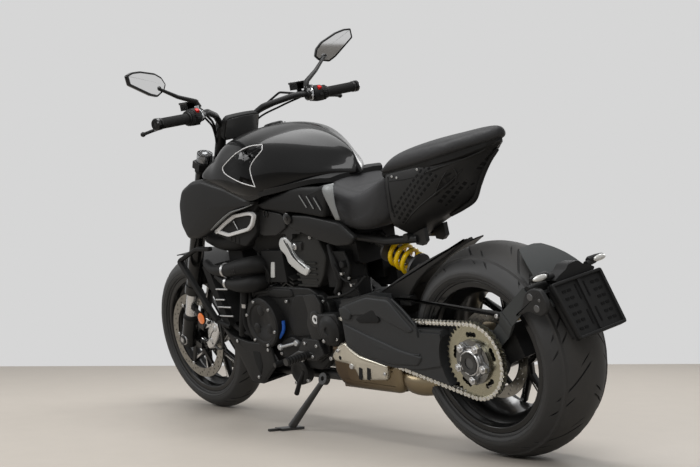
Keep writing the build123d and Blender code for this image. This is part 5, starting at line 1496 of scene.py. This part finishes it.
make("gear_links", link_bar, silver_paint)


# ---------------------------------------------------------------- fork and brakes
def along_fork(profile, forward, left, sides=40):
    """A profile of radius and height turned about a line beside the steering axis."""
    return turned(profile, steered((forward, left, 0.0)), UP_FORK, sides)


def fork_plate(outline, low, high, inset=4.0, drop=4.0, bulge=0.0, reach=6.0):
    """A rounded plate whose outline is forwards and up along the steering axis, low to high to the left."""
    points, faces = pillow([(ahead, rise) for ahead, rise in outline], low, high, inset, drop, bulge, reach)
    return steered(points), faces


def fork_block(place, size):
    return block(steered(place), size, AHEAD_FORK, UP_FORK)


collar_profiles = (
    [(28.4, 842), (31.5, 846), (31.5, 852), (28.4, 856)],
    [(28.4, 1018), (31, 1020), (31, 1030), (28.4, 1032)],
    [(24.4, AXLE_HEIGHT + 196), (30.5, AXLE_HEIGHT + 200), (30.8, AXLE_HEIGHT + 222),
        (28.2, AXLE_HEIGHT + 232)],
    [(24.2, AXLE_HEIGHT + 88), (29.5, AXLE_HEIGHT + 90), (30, AXLE_HEIGHT + 99), (27, AXLE_HEIGHT + 106),
        (24.2, AXLE_HEIGHT + 108)],
)
cap_profile = [(0, 1093), (9, 1093), (11, 1090), (17, 1090), (19, 1092), (26, 1092), (28, 1089), (28, 1062)]
legs = (-FORK_SPAN, FORK_SPAN)
collars = [along_fork(profile, FORK_OFFSET, y) for y in legs for profile in collar_profiles]
steer("fork_collars", collars, matt, smooth=50)
caps = [along_fork(cap_profile, FORK_OFFSET, y) for y in legs]
steer("fork_caps", caps, silver_paint, smooth=40)
clamp_bolts = bolts([steered((FORK_OFFSET - 40, side * (FORK_SPAN - 24), rise)) for side in (-1, 1)
    for rise in (812, 826, 1047)], 6, 6, -AHEAD_FORK)
stem_nut = turned([(0, 14), (14, 14), (20, 10), (22, 0)], steered((0, 0, 1060)), UP_FORK, 6)
steer("clamp_bolts", clamp_bolts + [stem_nut], zinc)

caliper = both([fork_plate(*plate) for plate in (
    ([(-84, 344), (-100, 338), (-122, 360), (-138, 396), (-146, 436), (-132, 462), (-108, 470), (-92, 452),
        (-100, 420), (-92, 386), (-76, 362)], 76, 107, 7, 7, 2, 8),
    ([(-62, 396), (-76, 426), (-104, 456), (-140, 446), (-146, 416), (-122, 370), (-100, 346), (-78, 356)],
        34, 60, 4, 4, 0, 8),
    ([(-60, 404), (-78, 438), (-104, 458), (-132, 440), (-126, 396), (-106, 352), (-84, 350), (-66, 372)],
        72, 94, 4, 4, 0, 8),
    ([(-84, 452), (-96, 438), (-44, 392), (-24, 410), (-34, 446)], 84, 98, 4, 4, 0, 6),
    ([(-100, 350), (-116, 364), (-66, 352), (-30, 330), (-30, 352)], 84, 98, 4, 4, 0, 6),
)])
caliper += both([fork_block((-110, 66, 452), (30, 44, 10))])
steer("caliper_bodies", caliper, machined, "front_calipers", smooth=45)
pistons = [turned([(0, 110.4), (8, 110.4), (11, 108), (11, 98)], steered((ahead, 0, rise)), ACROSS, 28)
    for ahead, rise in ((-122, 440), (-110, 384))]
steer("caliper_pistons", both(pistons), zinc, smooth=40)
pins = bolts(steered([(-74, 99, 440), (-50, 99, 414), (-62, 99, 352), (-44, 99, 344)]), 6, 6)
pins += [tube(steered([(-120, 108, 372), (-104, 108, 402), (-122, 108, 440)]), 2.0, 8)]
steer("caliper_pins", both(pins), dark_steel)
reflector_spot = steered((-64, 124, 461))
reflector = [turned([(0, 9), (17, 9), (21, 7), (21, 4)], reflector_spot, ACROSS, 36)]
steer("fork_reflectors", both(reflector), reflector_amber, smooth=30)
holders = [
    turned([(21, 4), (24, 8), (24, 0), (0, 0)], reflector_spot, ACROSS, 36),
    fork_plate([(-72, 452), (-72, 472), (-4, 480), (-4, 462)], 118, 124, 1, 1, 0, 4),
    fork_block((0, 116, 471), (20, 20, 18)),
]
steer("reflector_holders", both(holders), matt, bevel=0.5)
nut_profile = [(0, 8), (12, 8), (13, 6), (13, 2), (19, 2), (21, 0), (21, -6)]
nuts = [turned(nut_profile, FRONT_AXLE + ACROSS * (side * 132), ACROSS * side, sides)
    for side, sides in ((-1, 6), (1, 32))]
steer("front_spindle_caps", nuts, zinc)

# ---------------------------------------------------------------- bars and controls
KNEE = np.array([1062.0, 190.0, 1142.0])
GRIP_IN = np.array([1022.0, 296.0, 1134.0])
BAR_END = np.array([1008.0, 424.0, 1135.0])
OUT_BAR = unit(BAR_END - GRIP_IN)
IN_BAR = unit(KNEE - GRIP_IN)


def on_bar(reach, x=0, y=0, z=0):
    """A place inwards along the bar from the grip's inner end, then forward, left and up of it."""
    return GRIP_IN + IN_BAR * reach + (x, y, z)


grip = [(17.1, 6)]
for i in range(24):
    grip += [(17.1, 8 + 4.4 * i), (17.9, 9 + 4.4 * i), (17.9, 11.2 + 4.4 * i), (17.1, 12.2 + 4.4 * i)]
grip += [(17.1, 116)]
steer("grip_sleeves", both([turned(grip, GRIP_IN, OUT_BAR, 40)]), rubber, smooth=28)
bar_end = [(14.2, 114), (19.5, 117), (20, 121), (20, 124), (17, 125), (17, 128), (20.5, 129), (20.5, 138),
    (17, 142), (8, 142), (7, 139), (0, 139)]
steer("bar_ends", both([turned(bar_end, GRIP_IN, OUT_BAR, 40)]), gloss_black, smooth=40)
housing = [(20, 3), (24, 2), (25.5, 0), (25.5, -10), (23.5, -11), (23.5, -14), (27, -15), (28.5, -18),
    (28.5, -44), (26, -47), (18, -48)]
housings = [
    turned(housing, GRIP_IN, -IN_BAR, 44),
    block(on_bar(30, 8, 0, -14), (44, 30, 26), (1, 0, 0.1), (-0.1, 0, 1)),
]
first, second = square_to(IN_BAR)
for turn in np.radians(range(0, 360, 15)):
    spot = on_bar(5) + 25.4 * (math.cos(turn) * first + math.sin(turn) * second)
    out = unit(spot - GRIP_IN - IN_BAR * 5)
    housings.append(block(spot, (3.4, 9, 2.4), np.cross(IN_BAR, out), out))
steer("switch_housings", both(housings), matt, bevel=1.0, smooth=40)
clamp = [(20, 50), (24.5, 50), (24.5, 56), (20, 56)]
plates = [turned(clamp, GRIP_IN, IN_BAR, 36), block(on_bar(53, -6, 0, 26), (20, 6, 12))]
steer("clamp_plates", both(plates), silver_paint, bevel=0.8)
screws = bolts([on_bar(64, -22, 0, 8), on_bar(64, -22, 0, -8)], 4.5, 5, (-1, 0, 0))
screws += bolts([on_bar(12, 44, 0, 7)], 6, 5, (0, 0, 1))
steer("control_screws", both(screws), zinc)
switches = [block(on_bar(34, -23, 0, 17), (14, 12, 14), (0.8, 0, 0.6), (-0.6, 0, 0.8))]
steer("red_switches", both(switches), switch_red, bevel=1.6)
keys = [block(on_bar(34, -30, 0, -6), (9, 14, 8)), block(on_bar(22, -29, 0, 4), (8, 8, 10))]
steer("switch_keys", both(keys), plastic, bevel=1.2)
perch = on_bar(64)
pots = [
    block(on_bar(64, 50, 0, 46), (50, 50, 7)),
    block(on_bar(64, 50, 0, 33), (44, 45, 24)),
    tube([on_bar(64, 50, 0, 24), on_bar(64, 40, 0, 4)], 9, 14, smooth=False),
    turned([(20, -8), (24, -6), (24, 6), (20, 8)], perch, IN_BAR, 30),
]
steer("brake_pots", both(pots), gloss_black, bevel=1.6)
pot_screws = bolts([on_bar(64, 50 + x, y, 49.5) for x in (-17, 17) for y in (-20, 20)], 3.0, 1.6, (0, 0, 1))
steer("pot_screws", both(pot_screws), zinc)

# The levers' cable and the bundle of hoses in front of the clamps.
bundle = [tube(line, radius, 10) for line, radius in (
    ([(1062, 206, 1140), (1124, 150, 1124), (1196, 84, 1088), (1244, 56, 1010), (1268, 46, 930)], 4.2),
    ([(1060, 212, 1132), (1116, 160, 1112), (1186, 96, 1078), (1234, 60, 1000), (1256, 48, 920)], 3.6),
)]
steer("bar_cables", both(bundle), rubber)

# ---------------------------------------------------------------- mirrors
def posed(piece, origin, right, up, out):
    """A piece drawn in X, thickness Y and Z, moved to the origin along right, out and up."""
    points, faces = piece
    return origin + points[:, :1] * right + points[:, 2:] * up + points[:, 1:2] * out, faces


mirror_outline = np.array([(82, 40), (56, 47), (20, 46), (-42, 32), (-70, 15), (-84, -10), (-72, -30),
        (-36, -47), (-6, -38), (78, 6)], float)
heads, glasses, stems, joints = [], [], [], []
for side, height, tilt, toe in ((1, 1268.0, 0.0, 12.0), (-1, 1290.0, -11.0, 20.0)):
    turn, lean = math.radians(toe), math.radians(tilt)
    swing = np.array([[1, 0, 0], [0, math.cos(lean), -math.sin(lean)], [0, math.sin(lean), math.cos(lean)]])
    outward = swing @ np.array([-math.sin(turn), side * math.cos(turn), 0])
    forward = swing @ np.array([math.cos(turn), side * math.sin(turn), 0])
    upward = swing @ np.array([0, 0, 1.0])
    centre = np.array([1062.0, side * 405.0, height])
    pose = (centre, outward, upward, forward)
    heads.append(posed(pillow(mirror_outline, 2, 17, 14, 12, 3, 5, 7), *pose))
    heads.append(posed(pillow(mirror_outline, 3, -4.0, 2.5, 1.5, 0, 5), *pose))
    glasses.append(posed(slab(inwards(softened(mirror_outline, 5), 6.5), -3.0, -4.8), *pose))
    ball = centre + np.array([10, side * -48, -20]) @ swing.T
    foot_at = perch * (1, side, 1)
    low = foot_at + (0, side * -6, 26)
    stem = [low, foot_at + (0, side * 4, 46), foot_at * 0.5 + ball * 0.5 + (0, 0, 16), ball]
    stems.append(tube(stem, [12, 12, 9.5, 7], 18, 1, smooth=False, flat=0.7))
    joints.append(turned([(0, 8), (7, 7), (9, 3), (9, -4), (6, -8)], ball, forward, 24))
    joints.append(turned([(10, 14), (12.5, 16), (12.5, 30), (10, 33)], foot_at, (0, 0, 1), 28))
steer("mirror_heads", heads + joints, gloss_black, "mirrors", smooth=50)
steer("mirror_glasses", glasses, mirror_glass, smooth=40)
steer("mirror_stems", stems, satin, smooth=60)

# ---------------------------------------------------------------- display and headlight
case_line = [(-66, 1160), (66, 1160), (76, 1176), (74, 1236), (62, 1247), (20, 1249), (-20, 1249),
    (-62, 1247), (-74, 1236), (-76, 1176)]
display_pose = (steered((0.0, 0, 0)), ACROSS, UP_FORK, -AHEAD_FORK)
shell = [posed(pillow(case_line, 12, 33, 4, 4, 0, 6), *display_pose)]
steer("display_shell", shell, plastic, "display", smooth=40)
glass_line = inwards(softened(case_line, 6), 5.5)
glass_paint = Paint("display_glass", tone(64), 0.24, 0.0, Coat_Weight=0.6)
glass = [posed(pillow(glass_line, 30, 34, 1, 1, 0, 0), *display_pose)]
steer("display_glass", glass, glass_paint)
steer("display_arm", [fork_block((-22, 0, 1110), (10, 48, 110))], satin, bevel=2.0)
lamp_pose = (steered((0.0, 0, 0)), ACROSS, UP_FORK, AHEAD_FORK)
lamp_line = [(-54, 884), (-38, 870), (38, 870), (54, 884), (58, 940), (42, 966), (-42, 966), (-58, 940)]
rim = [posed(pillow(lamp_line, 74, 146, 10, 14, 0, 10), *lamp_pose)]
steer("headlight_rim", rim, gloss_black, "headlight", smooth=50)
strip_line = inwards(softened(lamp_line, 10), 12)
lens = [posed(pillow(strip_line, 142, 149, 5, 4, 3, 0), *lamp_pose)]
steer("headlight_lens", lens, smoked, smooth=60)
daylight = [(148, -40, 890), (149, -44, 930), (149, -32, 952), (150, 0, 955), (149, 32, 952), (149, 44, 930),
    (148, 40, 890)]
steer("daylight_strip", [tube(steered(daylight), 2.6, 10)], lens_clear)

# The levers: a flat blade that tapers to a ball, from its pivot ahead of the switch housing.
blade = [on_bar(20, 50), GRIP_IN + (60, 8, -6), (1094, 350, 1118), (1104, 420, 1109)]
lever_pieces = [
    tube(blade, [9, 8, 6.5, 5.5], 16, 8, flat=0.6),
    turned([(0, 9), (6, 7), (9, 0), (6, -7), (0, -9)], (1104, 428, 1108), ACROSS, 24),
    block(on_bar(26, 40), (46, 34, 20)),
]
steer("levers", both(lever_pieces), satin, bevel=1.0, smooth=50)
pump = [
    tube([on_bar(6, 44, 0, 2), on_bar(80, 36, 0, 4)], 12.5, 24, smooth=False),
    turned([(0, 3), (7, 3), (8.5, 1), (8.5, -8)], on_bar(82, 36, 0, 4), IN_BAR, 24),
]
steer("brake_pumps", both(pump), gloss_black, bevel=1.2)

# The caliper's bleed hose loops behind it.
bleed = [(-118, 98, 470), (-142, 104, 478), (-168, 108, 440), (-176, 106, 392), (-150, 100, 366),
    (-118, 98, 366)]
steer("caliper_hoses", both([tube(steered(bleed), 4.2, 12)]), dark_steel, smooth=60)


# ---------------------------------------------------------------- finishes of the frame's own pieces
KEPT = {
    "front_tyre": tyre_rubber, "rear_tyre": tyre_rubber, "front_rim": wheel_black, "rear_rim": wheel_black,
    "front_discs": front_disc_steel, "rear_disc": rear_disc_steel, "sprocket": sprocket_silver,
    "rear_axle": dark_steel, "front_axle": dark_steel, "fork_legs": gloss_black, "fork_sliders": machined,
    "triple_clamps": satin, "handlebar": satin, "hand_controls": matt, "mirrors": gloss_black,
    "display": plastic, "headlight": plastic, "front_mudguard": satin, "front_calipers": silver_paint,
    "brake_hoses": rubber, "front_frame": frame_grey, "crankcase": cast_dark, "cylinder_heads": cast_grey,
    "engine_covers": cast_dark, "radiator": plastic, "belly_pan": plastic, "exhaust_headers": dark_steel,
    "exhaust_silencer": bronze, "fuel_tank": tank_gloss, "air_scoops": satin, "side_panels": matt,
    "rider_seat": rubber, "passenger_seat": rubber, "tail_fairing": satin, "rear_subframe": frame_grey,
    "shock_body": cast_grey, "shock_spring": yellow, "swingarm": arm_satin, "drive_chain": chain_steel,
    "rear_hugger": satin, "plate_bracket": flap_plastic, "plate_holder": plastic, "rear_caliper": satin,
    "foot_controls": dark_steel, "side_stand": dark_steel,
}
for node_name, paint in KEPT.items():
    node = nodes[node_name]
    if node.data.materials:
        node.material_slots[0].material = paint.material
    else:
        node.data.materials.append(paint.material)
